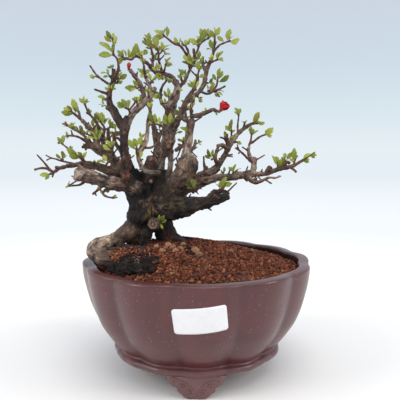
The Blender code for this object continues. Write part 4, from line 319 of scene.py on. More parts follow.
        (37.3,228,40,(106,9),(80,6),(134,5)),(42.7,220.6,38,(92,5),(60,4),(125,3.5)),
        (51,220.8,41.4,(82,5),(108,4)),(54,220.6,42,(60,12),(22,9),(42,9),(4,9))]),
    "riser": ([[(47,200,12.6,1.2),(47.3,202.4,13.2,1.3),(51,204.6,14,1.2),(56,208.4,15,1.1),
        (61,210.7,16,0.9)],
        [(47.5,202.6,13.2,1.1),(48.4,206.4,14,1),(49,211,15,0.8)]], [
        (49,211.4,15,(112,6),(70,8),(44,9),(92,7)),(61.4,210.8,16,(-5,7),(24,9),(38,10),(95,4))]),
    "long_right_tip": ([[(67,177.6,-1.9,1.8),(69.6,178.4,-2.4,2.3),(75,180.5,-4,2.4),
        (81,181.5,-5,2.2),(87,183,-6,1.8),(93,186.5,-7,1.4),(98,190,-8,1.3),(101.5,192.3,-8,1.5)],
        [(84,182,-5.6,1.6),(88.3,178.6,-9,1.4),(89.5,177,-10,1.3)],
        [(77,181.4,-4,1.9),(81,186,-3,1.9),(83.4,185,-2,1.5)],
        [(87.2,183.4,-6,1.1),(88.2,188,-5,0.9)]], [
        (73,182,-4,(120,12),(100,11),(68,10),(84,8)),(79.4,187.4,-3,(112,7),(142,5),(58,9),(85,7)),
        (88.2,188.4,-5,(96,12),(122,8),(64,8)),(94.6,187,-7,(14,8),(52,8),(-8,6)),
        (102,192.4,-8,(30,6),(-32,5),(0,5))]),
    "back_post": ([[(-41,227,50.6,1.4),(-41.6,232,53,1.7),(-43,240,56,1.4),(-43,248,58,1)],
        [(-41.8,234,54,1.2),(-48,240,60,0.9)]], [
        (-43,248.4,58,(85,9),(120,9),(55,8),(150,6)),(-48.4,240.4,60,(150,9),(115,8),(180,7)),
        (-42,238,57,(30,8),(60,7))]),
    "back_post_fork": ([[(-24.2,229.6,54.6,1.1),(-23.6,236,57,1.2),(-25,244,59,0.9)]], [
        (-25,244.4,59,(90,9),(60,8),(125,8)),(-23.4,237,58,(20,8),(150,7),(50,6))]),
    "back_right": ([[(-8,215,56.6,1.4),(-8,220,59,1.6),(-10,230,62,1.3),(-9,238,64,0.9)],
        [(-9,224,60,1.1),(-14,229,67,0.9)]], [
        (-9,238.4,64,(90,9),(60,8),(125,8),(150,6)),(-14.4,229.4,67,(150,8),(110,8),(185,6))]),
    "back_left": ([[(-90,204,58.6,1.3),(-90.6,208,61,1.5),(-92,216,64,1)],
        [(-90.6,208,61,1.1),(-98,211,66,0.9)]], [
        (-92,216.4,64,(90,10),(60,8),(125,9)),(-98.4,211.2,66,(150,9),(120,8),(180,7)),
        (-90,211,63,(35,8),(10,6))]),
    "back_low_right": ([[(19,171.2,56.4,1.5),(22.6,172,60,1.8),(29,172.6,66,1.4),(35,174,71,1)],
        [(24,172.2,61,1.1),(24,176,67,0.9)]], [
        (35.4,174.2,71,(30,9),(60,8),(0,8)),(24,176.4,67,(80,7),(120,7))]),
    "back_low_left": ([[(-94,177.7,55.4,1.4),(-97,179,58.6,1.6),(-101,182,64,1)],
        [(-96.6,178.8,58.2,1.1),(-91,182,64,0.9)]], [
        (-101.4,182.2,64,(170,8),(135,9),(100,8)),(-90.6,182.4,64,(90,8),(50,8))]),
}


def sightScale(depth):  # how far things spread that lie this deep behind the axis
    return (depth - eye.y) / -eye.y


def sighted(across, up, depth):  # metres, in the plant's frame
    share = sightScale(depth)
    place = Vector((eye.x + (across - eye.x) * share, depth, eye.z + (up - eye.z) * share))
    return (place + potAxis) * mm


def sightedRoute(points):  # rows of x, y, z, radius in metres
    return np.array([[*sighted(across, up, depth), radius * sightScale(depth) * mm]
                     for across, up, depth, radius in points])


def smoothRows(knots, step, closed=False):  # a smooth curve through the knots, one row a step
    knots = np.array(knots, float)
    ends = np.vstack([2 * knots[0] - knots[1], knots, 2 * knots[-1] - knots[-2]])
    ends[0, 3], ends[-1, 3] = knots[0, 3], knots[-1, 3]
    if closed:
        ends = np.vstack([knots[-1], knots, knots[:2]])
    rows = []
    for a, b, c, d in zip(ends, ends[1:], ends[2:], ends[3:]):
        count = max(1, round(float(np.linalg.norm((c - b)[:3])) / step))
        for part in range(count):
            t = part / count
            rows.append(0.5 * (2 * b + (c - a) * t + (2 * a - 5 * b + 4 * c - d) * t * t
                               + (3 * b - a - 3 * c + d) * t ** 3))
    return np.array(rows if closed else [*rows, knots[-1]])


def smoothRoute(points, step):
    knots = sightedRoute(points)
    rows = smoothRows(knots, step)
    rows[:, 3] = np.maximum(rows[:, 3], 0.7 * knots[:, 3].min())
    return rows


def appliedMesh(holder):
    graph = bpy.context.evaluated_depsgraph_get()
    return bpy.data.meshes.new_from_object(holder.evaluated_get(graph))


def applyModifiers(piece):
    mesh = appliedMesh(piece)
    piece.modifiers.clear()
    piece.data = mesh


def linkedObject(name, data):
    holder = bpy.data.objects.new(name, data)
    bpy.context.scene.collection.objects.link(holder)
    return holder


def tubesMesh(name, routes, sides):  # capped round tubes along the routes, as one mesh
    curve = bpy.data.curves.new(name, "CURVE")
    curve.dimensions = "3D"
    curve.bevel_depth = 1.0
    curve.bevel_resolution = (sides - 4) // 2
    curve.use_fill_caps = True
    for number, rows in enumerate(routes):
        spline = curve.splines.new("POLY")
        curve.materials.append(None)
        spline.material_index = number  # tells later which route a face belongs to
        spline.points.add(len(rows) - 1)
        for point, row in zip(spline.points, rows):
            point.co = (row[0], row[1], row[2], 1.0)
            point.radius = row[3]
    holder = linkedObject(name, curve)
    mesh = appliedMesh(holder)
    bpy.data.objects.remove(holder)
    bpy.data.curves.remove(curve)
    bm = mergedCopy(mesh)
    bmesh.ops.recalc_face_normals(bm, faces=bm.faces)
    bm.to_mesh(mesh)
    bm.free()
    return mesh


def mergedCopy(mesh):  # as a bmesh, its doubled points joined
    bm = bmesh.new()
    bm.from_mesh(mesh)
    bmesh.ops.remove_doubles(bm, verts=bm.verts, dist=1e-7)
    return bm


def searchTree(piece):
    bm = mergedCopy(piece.data)
    tree = BVHTree.FromBMesh(bm)
    bm.free()
    return tree


def vertexRows(mesh, name):  # "co" or "normal" of each vertex
    flat = np.empty(len(mesh.vertices) * 3, np.float32)
    mesh.vertices.foreach_get(name, flat)
    return flat.reshape(-1, 3).astype(float)


def writeLayers(mesh, grain, tone):
    layer = mesh.attributes.new("grain", "FLOAT_VECTOR", "POINT")
    layer.data.foreach_set("vector", grain.astype(np.float32).ravel())
    layer = mesh.attributes.new("tone", "FLOAT_COLOR", "POINT")
    rows = np.hstack([tone, np.ones((len(tone), 1))])
    layer.data.foreach_set("color", rows.astype(np.float32).ravel())


def meshFrom(bm, name):
    mesh = bpy.data.meshes.new(name)
    bm.to_mesh(mesh)
    bm.free()
    return mesh


def giveFinish(faces, number):  # the number of the piece's finish for all these faces
    for face in faces:
        face.material_index = number


def putPiece(name, mesh, finishes, nodes=(), smooth=True):
    if isinstance(mesh, bmesh.types.BMesh):
        mesh = meshFrom(mesh, name)
    mesh.name = name
    for finish in finishes:
        mesh.materials.append(finish)
    if smooth:
        mesh.shade_smooth()
    piece = linkedObject(name, mesh)
    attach(piece, "root")
    if nodes:
        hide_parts(*nodes)
    print(f"{name}: {sum(len(face.vertices) - 2 for face in mesh.polygons)} triangles")
    return piece


def thicken(bm, thickness):  # gives a sheet its second side
    pushed = bmesh.ops.extrude_face_region(bm, geom=list(bm.faces))["geom"]
    bm.normal_update()
    moved = [part for part in pushed if isinstance(part, bmesh.types.BMVert)]
    for vert, normal in [(vert, vert.normal.copy()) for vert in moved]:
        vert.co -= normal * thickness
    bmesh.ops.recalc_face_normals(bm, faces=bm.faces)


def mixColours(first, second, share):  # arrays of colours, share one number a row
    return first + (second - first) * np.clip(share, 0.0, 1.0)[:, None]


def noiseRows(points, scale, seed=0.0):  # one noise value, about -0.7 to 0.7, for each row
    scaled = points * np.array(scale) + seed
    return np.array([noise.noise(row) for row in scaled.tolist()])


# the helpers from here on make the nodes of the finishes
def newFinish(name, **sockets):
    finish = bpy.data.materials.new(name)
    finish.use_nodes = True
    tree = finish.node_tree
    shader = tree.nodes["Principled BSDF"]
    for socket, value in sockets.items():
        shader.inputs[socket.replace("_", " ")].default_value = value
    return finish, tree, shader


def addNode(tree, kind, inputs=None, **settings):
    node = tree.nodes.new("ShaderNode" + kind)
    for setting, value in settings.items():
        setattr(node, setting, value)
    for socket, value in (inputs or {}).items():
        if isinstance(value, bpy.types.NodeSocket):
            tree.links.new(value, node.inputs[socket])
        else:
            node.inputs[socket].default_value = value
    return node


def addPlace(tree):
    return addNode(tree, "TexCoord").outputs["Object"]


def addLayer(tree, name, output):
    return addNode(tree, "Attribute", attribute_name=name).outputs[output]


def addNoise(tree, vector, scale, detail, roughness):
    inputs = {"Vector": vector, "Scale": scale, "Detail": detail, "Roughness": roughness}
    return addNode(tree, "TexNoise", inputs).outputs["Fac"]


def addScaled(tree, vector, factors):
    node = addNode(tree, "VectorMath", {0: vector, 1: factors}, operation="MULTIPLY")
    return node.outputs["Vector"]


def addMath(tree, operation, first, second=0.0, third=0.0, clamp=False):
    inputs = {0: first, 1: second}
    if operation == "MULTIPLY_ADD":
        inputs[2] = third
    return addNode(tree, "Math", inputs, operation=operation, use_clamp=clamp).outputs[0]


def addRamp(tree, factor, stops):
    node = addNode(tree, "ValToRGB", {"Fac": factor})
    ramp = node.color_ramp
    ramp.elements[0].position, ramp.elements[1].position = stops[0][0], stops[-1][0]
    ramp.elements[0].color, ramp.elements[1].color = (*stops[0][1], 1), (*stops[-1][1], 1)
    for place, colour in stops[1:-1]:
        ramp.elements.new(place).color = (*colour, 1)
    return node.outputs["Color"]


def addMix(tree, factor, first, second, mode="MIX"):
    if isinstance(second, tuple):
        second = (*second, 1.0)
    inputs = {0: factor, 6: first, 7: second}  # 6 and 7 are the two colours
    return addNode(tree, "Mix", inputs, data_type="RGBA", blend_type=mode).outputs[2]


def addBump(tree, height, strength, distance):
    inputs = {"Height": height, "Strength": strength, "Distance": distance}
    return addNode(tree, "Bump", inputs).outputs["Normal"]


def linkShader(tree, shader, **sources):
    for socket, source in sources.items():
        tree.links.new(source, shader.inputs[socket.replace("_", " ")])


# a noise row is (scale, detail, roughness), a bump row is (strength, height in metres)
barkSkin = {
    "streaks": ((0.7, 0.7, 0.16), 6.0, 0.65),  # stretch per millimetre, detail, roughness
    "rings": ((0.15, 0.15, 1.1), 3.0, 0.5),
    "flecks": ((1.6, 1.6, 1.2), 3.0, 0.6),
    "shades": [(0.12, (0.36, 0.33, 0.31)), (0.5, (0.97, 0.95, 0.93)),
               (0.88, (1.62, 1.57, 1.52))],
    "fleck colour": (2.3, 2.2, 2.1), "fleck strength": 0.5,
    "ring height": 0.35, "roughest": 0.98, "gloss of streaks": 0.3,
    "bump": (0.9, 0.0014),
}


def makeBarkFinish():
    finish, tree, shader = newFinish("bark", Roughness=0.82)
    grain, tone = addLayer(tree, "grain", "Vector"), addLayer(tree, "tone", "Color")
    noises = []
    for name in ("streaks", "rings", "flecks"):
        stretch, detail, roughness = barkSkin[name]
        noises.append(addNoise(tree, addScaled(tree, grain, stretch), 1.0, detail, roughness))
    streaks, rings, flecks = noises
    light = addMath(tree, "MULTIPLY_ADD", streaks, 3.0, -1.0)
    colour = addMix(tree, 1.0, tone, addRamp(tree, light, barkSkin["shades"]), "MULTIPLY")
    pale = addMath(tree, "MULTIPLY_ADD", flecks, 5.0, -2.7, clamp=True)
    pale = addMath(tree, "MULTIPLY", pale, barkSkin["fleck strength"])
    lighter = addMix(tree, 1.0, tone, barkSkin["fleck colour"], "MULTIPLY")
    colour = addMix(tree, pale, colour, lighter)
    height = addMath(tree, "MULTIPLY_ADD", rings, barkSkin["ring height"], streaks)
    rough = addMath(tree, "MULTIPLY_ADD", streaks, -barkSkin["gloss of streaks"],
                    barkSkin["roughest"])
    normal = addBump(tree, height, *barkSkin["bump"])
    linkShader(tree, shader, Base_Color=colour, Roughness=rough, Normal=normal)
    return finish


leafSkin = {
    "rib slimness": 9.0, "vein slant": 0.42, "vein pitch": 52.0, "vein strength": 0.7,
    "patches": (3.5, 3.0, 0.6),
    "shades": [(0.3, (0.66, 0.72, 0.6)), (0.7, (1.2, 1.17, 1.1))],
    "line colour": (0.46, 0.52, 0.16), "line strength": 0.45,
    "bump": (0.35, 0.0003),
}


def makeLeafFinish():
    finish, tree, shader = newFinish("leaf", Roughness=0.5, Specular_IOR_Level=0.28)
    blade, tone = addLayer(tree, "blade", "Vector"), addLayer(tree, "tone", "Color")
    parts = addNode(tree, "SeparateXYZ", {0: blade}).outputs
    across = addMath(tree, "ABSOLUTE", parts["X"])
    rib = addMath(tree, "MULTIPLY_ADD", across, -leafSkin["rib slimness"], 1.0, clamp=True)
    slanted = addMath(tree, "MULTIPLY_ADD", across, -leafSkin["vein slant"], parts["Y"])
    waves = addMath(tree, "SINE", addMath(tree, "MULTIPLY", slanted, leafSkin["vein pitch"]))
    veins = addMath(tree, "MULTIPLY_ADD", waves, 3.0, -2.0, clamp=True)
    veins = addMath(tree, "MULTIPLY", veins, leafSkin["vein strength"])
    lines = addMath(tree, "MAXIMUM", rib, veins)
    shade = addRamp(tree, addNoise(tree, blade, *leafSkin["patches"]), leafSkin["shades"])
    colour = addMix(tree, 1.0, tone, shade, "MULTIPLY")
    strength = addMath(tree, "MULTIPLY", lines, leafSkin["line strength"])
    colour = addMix(tree, strength, colour, leafSkin["line colour"])
    normal = addBump(tree, lines, *leafSkin["bump"])
    linkShader(tree, shader, Base_Color=colour, Normal=normal)
    return finish


claySkin = {
    "clouds": (34.0, 4.0, 0.6),
    "smears": (70.0, 5.0, 0.62), "smear stretch": (1.0, 1.0, 0.25),
    "sand": (1500.0, 2.0, 0.5), "sand colour": (0.02, 0.012, 0.012), "sand strength": 0.35,
    "specks": (520.0, 2.0, 0.5), "speck colour": (0.36, 0.20, 0.15), "speck strength": 0.45,
    "shades": [(0.33, (0.78, 0.78, 0.80)), (0.5, (1.0, 1.0, 1.0)), (0.68, (1.26, 1.20, 1.17))],
    "smoothest": 0.18, "dullness of clouds": 0.3,
    "bump": (0.22, 0.0005),
}


def makeClayFinish():
    finish, tree, shader = newFinish("pot clay", Specular_IOR_Level=0.5, Coat_Weight=0.2,
                                     Coat_Roughness=0.22)
    place, wear = addPlace(tree), addLayer(tree, "tone", "Color")
    stretched = addScaled(tree, place, claySkin["smear stretch"])
    smears = addNoise(tree, stretched, *claySkin["smears"])
    clouds, sand, specks = (addNoise(tree, place, *claySkin[name])
                            for name in ("clouds", "sand", "specks"))
    blend = addMath(tree, "MULTIPLY_ADD", smears, 0.5, addMath(tree, "MULTIPLY", clouds, 0.5))
    colour = addMix(tree, 1.0, wear, addRamp(tree, blend, claySkin["shades"]), "MULTIPLY")
    bright = addMath(tree, "MULTIPLY_ADD", specks, 11.0, -7.2, clamp=True)
    bright = addMath(tree, "MULTIPLY", bright, claySkin["speck strength"])
    colour = addMix(tree, bright, colour, claySkin["speck colour"])
    dark = addMath(tree, "MULTIPLY_ADD", sand, -9.0, 3.3, clamp=True)
    dark = addMath(tree, "MULTIPLY", dark, claySkin["sand strength"])
    colour = addMix(tree, dark, colour, claySkin["sand colour"])
    rough = addMath(tree, "MULTIPLY_ADD", clouds, claySkin["dullness of clouds"],
                    claySkin["smoothest"])
    grit = addMath(tree, "MULTIPLY_ADD", sand, 0.5, addMath(tree, "MULTIPLY", smears, 0.8))
    normal = addBump(tree, grit, *claySkin["bump"])
    linkShader(tree, shader, Base_Color=colour, Roughness=rough, Normal=normal)
    return finish


grainSkin = {
    "pores": (1400.0, 3.0, 0.6),
    "shades": [(0.3, (0.5, 0.5, 0.5)), (0.7, (1.5, 1.42, 1.35))],
    "bump": (0.6, 0.0004),
}


def makeGrainFinish():
    finish, tree, shader = newFinish("baked clay grain", Roughness=0.95, Specular_IOR_Level=0.2)
    pores = addNoise(tree, addPlace(tree), *grainSkin["pores"])
    shade = addRamp(tree, pores, grainSkin["shades"])
    colour = addMix(tree, 1.0, addLayer(tree, "tone", "Color"), shade, "MULTIPLY")
    normal = addBump(tree, pores, *grainSkin["bump"])
    linkShader(tree, shader, Base_Color=colour, Normal=normal)
    return finish


soilSkin = {
    "mottles": (300.0, 4.0, 0.6),
    # the soil under the grains is near black: painted shade in the gaps between the grains
    "shades": [(0.3, (0.030, 0.011, 0.007)), (0.7, (0.09, 0.032, 0.017))],
    "lumps": 420.0,
    "bump": (0.8, 0.0016),
}


def makeSoilFinish():
    finish, tree, shader = newFinish("soil under the grains", Roughness=0.97)
    place = addPlace(tree)
    lumps = addNode(tree, "TexVoronoi", {"Vector": place, "Scale": soilSkin["lumps"]})
    # near-black colour: painted shade in the gaps between the grains
    colour = addRamp(tree, addNoise(tree, place, *soilSkin["mottles"]), soilSkin["shades"])
    normal = addBump(tree, lumps.outputs["Distance"], *soilSkin["bump"])
    linkShader(tree, shader, Base_Color=colour, Normal=normal)
    return finish


plainSkins = {  # colour, its spread, scale of its clouds, roughness, bump, and how metallic
    "petal": ((0.50, 0.006, 0.014), 0.45, 420.0, 0.5, 0.25, 0.0),
    "sepal": ((0.16, 0.075, 0.035), 0.35, 500.0, 0.55, 0.3, 0.0),
    "filament": ((0.72, 0.55, 0.24), 0.25, 900.0, 0.6, 0.2, 0.0),
    "anther": ((0.78, 0.46, 0.05), 0.3, 1500.0, 0.8, 0.4, 0.0),
    "label paper": ((0.88, 0.855, 0.86), 0.03, 260.0, 0.5, 0.12, 0.0),
    "screen plastic": ((0.012, 0.012, 0.013), 0.2, 300.0, 0.6, 0.1, 0.0),
    "clip wire": ((0.45, 0.45, 0.46), 0.12, 500.0, 0.4, 0.1, 0.9),
}


def makePlainFinish(name):
    colour, spread, scale, roughness, bump, metal = plainSkins[name]
    finish, tree, shader = newFinish(name, Metallic=metal)
    clouds = addNoise(tree, addPlace(tree), scale, 4.0, 0.6)
    low = tuple(channel * (1.0 - spread) for channel in colour)
    high = tuple(min(1.0, channel * (1.0 + spread)) for channel in colour)
    shade = addRamp(tree, clouds, [(0.3, low), (0.7, high)])
    rough = addMath(tree, "MULTIPLY_ADD", clouds, 0.2, roughness - 0.1)
    normal = addBump(tree, clouds, bump, 0.0004)
    linkShader(tree, shader, Base_Color=shade, Roughness=rough, Normal=normal)
    return finish


barkFinish = makeBarkFinish()
leafFinish = makeLeafFinish()
clayFinish = makeClayFinish()
grainFinish = makeGrainFinish()
soilFinish = makeSoilFinish()
petalFinish, sepalFinish, filamentFinish, antherFinish, paperFinish, screenFinish, wireFinish = (
    makePlainFinish(name) for name in plainSkins)
print("finishes made")


# the wood: all branches as tubes, melted together, then given bark
woodLook = {
    "step": 1.5 * mm,  # between the rows of a smoothed branch
    "sides": 16,
    "slimness": ([1.0, 3.0, 5.0, 12.0], [0.82, 0.84, 0.87, 1.0]),  # millimetres, share kept
    "swelling": 0.10, "node swelling": 0.24, "node pitch": (5.0, 8.0),
    "wander": 0.35,  # millimetres, and this much more for each one of radius:
    "thick wander": 0.05,
    "voxel": 0.58 * mm,
    "smoothing": 2,
    "shrinkage": 0.06 * mm,  # what the smoothing takes off
    "triangles": 190000,
    "furrows": 0.72, "lumps": 1.5, "crumbs": 0.5,  # depths in millimetres on thick wood
    "branch gap": 37.0,  # millimetres between two branches in the noise that they share
    "paleness": {
        "left leg": 0.0, "middle leg": 0.0, "right leg": 0.01, "right root": 0.06,
        "cut stub": 0.12, "looped root": 0.38, "low mat": 0.02, "middle mat": 0.02,
        "back mat": 0.02, "low right": 0.02, "long right": 0.46, "broken limb": 0.5,
        "broken limb knot": 0.6, "broken limb horn": 0.5, "middle knob": 0.2,
        "left stub": 0.3, "post scar": 0.45, "trunk scar": 0.2, "left long": 0.24,
        "left high": 0.25, "left post": 0.05, "left reach": 0.68, "left crown": 0.14,
        "centre left": 0.5, "centre right": 0.55, "centre post": 0.46, "swollen limb": 0.5,
        "swollen link": 0.66, "wound lip": 0.1, "front arc": 0.8, "reach pale": 0.8,
        "upright right": 0.4, "riser": 0.6, "front shoot": 0.3, "long right low": 0.6,
        "centre fork right": 0.42, "right crown": 0.34, "low right knob": 0.05,
        "low right fork": 0.05, "riser arm": 0.7, "upright left": 0.5,
    },
    "other paleness": 0.32,
    "roughness": {
        "low mat": 2.2, "middle mat": 2.2, "back mat": 2.0, "low right": 1.4,
        "middle leg": 1.3, "looped root": 0.5, "front arc": 0.7, "long right": 1.4,
        "front shoot": 2.6, "swollen limb": 0.65, "broken limb": 1.5, "broken limb knot": 1.8,
    },
    "other roughness": 1.0,
    "patches": [  # colour, then across, up, depth and reach in millimetres, and strength
        # the black patches at -43/118, -40/163, -60/130, -14/158, -101/175 and -55/118 are painted
        # shade: between the middle and right legs, where the limbs and the looped root part from
        # the trunk, in the broken limb's hollow, and on the left leg's shaded front; the warm
        # patch at -60/120 is painted light on that leg's lit side
        ("moss", -31, 156, -12, 12, 0.6), ("moss", -44, 141, -12, 6, 0.5),
        ("moss", -17, 147, -20, 6, 0.5), ("red", -27, 119, -4, 5, 0.7),
        ("tan", -92, 112, -24, 11, 0.6), ("tan", -82, 117, -16, 7, 0.5),
        ("black", -56, 92, -52, 17, 0.9), ("black", -70, 91, -54, 7, 0.7),
        ("black", -43, 118, -4, 9, 0.7), ("black", -40, 163, -9, 19, 0.72),
        ("black", -60, 130, -6, 9, 0.6), ("black", -14, 158, -4, 8, 0.5),
        ("black", -101, 175, -31, 2.6, 0.85), ("pale", -107, 176, -30, 4, 0.5),
        ("red", -64, 172, -26, 7, 0.55), ("black", -55, 118, -8, 8, 0.6),
        ("warm", -8, 181, -24, 10, 0.6), ("warm", -42, 147, -13, 7, 0.65),
        ("black", 2, 181, -20, 6, 0.9), ("pale", -27, 214, -2, 8, 0.5),
        ("rust", -41.5, 169, -15, 2.6, 0.7), ("rust", -41.3, 189, -11, 3.2, 0.55),
        ("rust", -26.7, 208, -6, 3, 0.55), ("rust", -25.3, 199.6, -6.5, 2.6, 0.45),
        ("rust", -66.3, 186, -26, 3.4, 0.6), ("rust", -64.5, 173, -24, 3.6, 0.5),
        ("pale", -26, 240, 2, 5, 0.7), ("warm", -60, 120, -9, 8, 0.5),
    ],
}
spurLook = {  # short spurs and bare twiglets along the limbs and twigs
    "count": 260,
    "length": (1.6, 4.6), "radius": (0.75, 1.5), "share of the branch": 0.36,
    "twiglets": 0.3, "twiglet length": (5.0, 11.0), "twiglet radius": 0.72,
    "lean": 0.45, "rise": 0.25, "bend": 0.5, "tip": (0.75, 1.15),
}
cutLook = {  # the faces of old cuts, with their year rings; shares run out from the middle
    "on": ("cut stub", "low right", "reach pale", "left inner", "post scar", "post scar low",
           "trunk scar", "knob scar", "stub scar"),
    "depth": 0.4, "facing": 0.35,  # how near the end and how square to it a face has to be
    "rings": 2.6, "ring height": 0.12, "ring waver": 3.0,
    "lip from": 0.78, "lip height": 0.3, "dish": 0.4, "bark from": 0.86,
}
barkColours = {
    "black": (0.010, 0.0065, 0.0055), "dark": (0.030, 0.018, 0.014),
    "middle": (0.130, 0.080, 0.058), "pale": (0.37, 0.288, 0.235), "young": (0.150, 0.054, 0.036),
    "moss": (0.088, 0.060, 0.017), "tan": (0.50, 0.375, 0.275), "red": (0.13, 0.036, 0.024),
    "warm": (0.19, 0.112, 0.068), "rust": (0.27, 0.092, 0.048), "cut": (0.25, 0.155, 0.105),
    "ring": (0.060, 0.036, 0.026),
}
barkColours = {name: np.array(colour) for name, colour in barkColours.items()}


def walkedRows(rows):
    steps = np.linalg.norm(np.diff(rows[:, :3], axis=0), axis=1)
    return np.concatenate([[0.0], np.cumsum(steps)])


def livelyRoute(rows, draw):  # swollen nodes and a slight wander
    walked = walkedRows(rows)
    start, pitch = draw.uniform(0.0, 50.0), draw.uniform(*woodLook["node pitch"]) * mm
    for row, distance in zip(rows, walked):
        thin = min(1.0, 1.6 * mm / row[3])
        node = math.cos(math.pi * (distance / pitch + start)) ** 8
        wave = noise.noise((distance * 110.0, start, 0.0))
        row[3] *= 1.0 + woodLook["swelling"] * wave + woodLook["node swelling"] * thin * node
        inside = math.sin(math.pi * distance / walked[-1])
        reach = woodLook["wander"] + woodLook["thick wander"] * row[3] / mm
        for axis in range(3):
            wave = noise.noise((distance * 150.0, start + 7.0 * axis, 3.0))
            row[axis] += wave * inside * reach * mm
    return rows


def spurRoutes(routes, draw):
    spurs = []
    weights = [walkedRows(rows)[-1] for rows in routes]
    for rows in draw.choices(routes, weights, k=spurLook["count"]):
        index = draw.randrange(len(rows) // 6, len(rows) - 2)
        seat, growth = Vector(rows[index, :3]), Vector(rows[index + 1, :3] - rows[index, :3])
        away = Vector([draw.gauss(0.0, 1.0) for _ in "xyz"])
        away = (away - away.project(growth)).normalized() + spurLook["lean"] * growth.normalized()
        away = (away + Vector((0.0, 0.0, spurLook["rise"]))).normalized()
        least, most = (radius * mm for radius in spurLook["radius"])
        thick = min(max(spurLook["share of the branch"] * rows[index, 3], least), most)
        reach = draw.uniform(*spurLook["length"]) * mm
        if draw.random() < spurLook["twiglets"]:
            thick = spurLook["twiglet radius"] * mm
            reach = draw.uniform(*spurLook["twiglet length"]) * mm
        reach += rows[index, 3]
        bend = Vector([draw.uniform(-spurLook["bend"], spurLook["bend"]) for _ in "xyz"]) * mm
        middle, tip = seat + away * 0.6 * reach + bend, seat + away * reach + 1.5 * bend
        knob = draw.uniform(*spurLook["tip"])
        spurs.append(np.array([[*seat, thick * 1.3], [*middle, thick], [*tip, thick * knob],
                               [*(tip + away * 0.5 * mm), thick * knob * 0.6]]))
    return spurs


def routeFrames(rows):  # directions of each step, with two more across it
    steps = np.diff(rows[:, :3], axis=0)
    directions = steps / np.linalg.norm(steps, axis=1)[:, None]
    sides = np.empty_like(directions)
    steep = abs(directions[0, 2]) >= 0.8
    side = np.array([0.9, 0.3, 0.1] if steep else [0.31, 0.22, 0.92])
    for index, direction in enumerate(directions):
        side = side - direction * side.dot(direction)
        side /= np.linalg.norm(side)
        sides[index] = side
    return directions, sides, np.cross(directions, sides)


def branchPlaces(points, routes, owners):  # (side, side, along) in millimetres, and the radius
    places, radii = np.zeros((len(points), 3)), np.zeros(len(points))
    for number, rows in enumerate(routes):
        mine = np.nonzero(owners == number)[0]
        if not len(mine):
            continue
        directions, sides, others = routeFrames(rows)
        steps = np.linalg.norm(np.diff(rows[:, :3], axis=0), axis=1)
        gaps = points[mine, None, :] - rows[None, :-1, :3]
        walks = np.clip((gaps * directions).sum(2), 0.0, steps)
        gaps -= walks[..., None] * directions
        nearest = (gaps ** 2).sum(2).argmin(1)
        picked = np.arange(len(mine))
        gap, walk = gaps[picked, nearest], walks[picked, nearest]
        walked = (walkedRows(rows)[nearest] + walk) / mm
        places[mine, 0] = (gap * sides[nearest]).sum(1) / mm
        places[mine, 1] = (gap * others[nearest]).sum(1) / mm
        places[mine, 2] = walked + woodLook["branch gap"] * number
        share = walk / steps[nearest]
        radii[mine] = rows[nearest, 3] * (1.0 - share) + rows[nearest + 1, 3] * share
    return places, radii / mm


def vertexOwners(mesh):  # the route of each vertex of a mesh of tubes
    owners = np.zeros(len(mesh.vertices), int)
    for face in mesh.polygons:
        owners[list(face.vertices)] = face.material_index
    return owners


def barkTones(places, radii, paleness, heights, points, normals):
    colours = barkColours
    drift = noiseRows(places, (0.13, 0.13, 0.08)) * 0.4 + noiseRows(places, (0.5, 0.5, 0.25)) * 0.3
    drift += 0.5 * noiseRows(points, (55.0, 55.0, 30.0), 12.0)
    # faces turned up are made paler, on the limbs and the stems alike: painted light from above
    light = paleness * (1.0 + drift + 0.3 * normals[:, 2]) + 0.25 * drift
    light = np.clip(light + 0.05 * normals[:, 2], 0.0, 1.0)
    rows = mixColours(colours["dark"], colours["middle"], light * 2.6)
    rows = mixColours(rows, colours["pale"], light * 1.7 - 0.66)
    rows = mixColours(colours["black"], rows, 0.25 + paleness * 9.0 + drift)
    thin = np.clip((2.1 - radii) / 1.2, 0.0, 1.0) * (0.8 - 0.7 * light)
    rows = mixColours(rows, colours["young"], thin + 0.3 * noiseRows(points, 90.0))
    mottle = noiseRows(points, 210.0) + 0.7 * noiseRows(points, 520.0)
    # patches of colour: moss, rust, tan and the like are the bark's own, while some of the black
    # and warm ones are painted shade and painted light
    for colour, across, up, depth, reach, strength in woodLook["patches"]:
        share = points - np.array(sighted(across, up, depth))
        share = 1.35 - np.linalg.norm(share, axis=1) / (reach * mm) + 0.9 * mottle
        rows = mixColours(rows, colours[colour], np.clip(share * 1.4, 0.0, 1.0) * strength)
    # darker where the bark is carved deep and paler on its ridges: painted shade in the furrows;
    # the mottle is the bark's own
    return rows * np.clip(0.9 + 0.85 * heights + 0.35 * mottle, 0.15, 1.6)[:, None]


def barkHeights(places, radii, roughness, points):  # millimetres that the bark stands out
    thick = np.clip((radii - 1.3) / 6.0, 0.0, 1.0)
    furrows = 0.2 - np.abs(noiseRows(places, (0.30, 0.30, 0.11)))
    flakes = 0.2 - np.abs(noiseRows(places, (0.62, 0.62, 0.3), 4.0))
    lumps = noiseRows(points / mm, 0.11, 5.0)
    crumbs = noiseRows(places, (0.85, 0.85, 0.5), 9.0)
    heights = thick * (woodLook["furrows"] * 2.0 * (furrows + 0.6 * flakes)
                       + woodLook["lumps"] * lumps)
    return roughness * (heights + (0.3 + 0.7 * thick) * woodLook["crumbs"] * crumbs)


def cutShares(places, radii, routes, owners, normals, number):  # which vertices, and how far out
    rows = routes[number]
    direction = (rows[-1, :3] - rows[-2, :3]) / np.linalg.norm(rows[-1, :3] - rows[-2, :3])
    end = walkedRows(rows)[-1] / mm + woodLook["branch gap"] * number
    reached = places[:, 2] > end - cutLook["depth"]
    mine = (owners == number) & reached & (normals @ direction > cutLook["facing"])
    return mine, np.hypot(places[:, 0], places[:, 1]) / radii.clip(0.5)


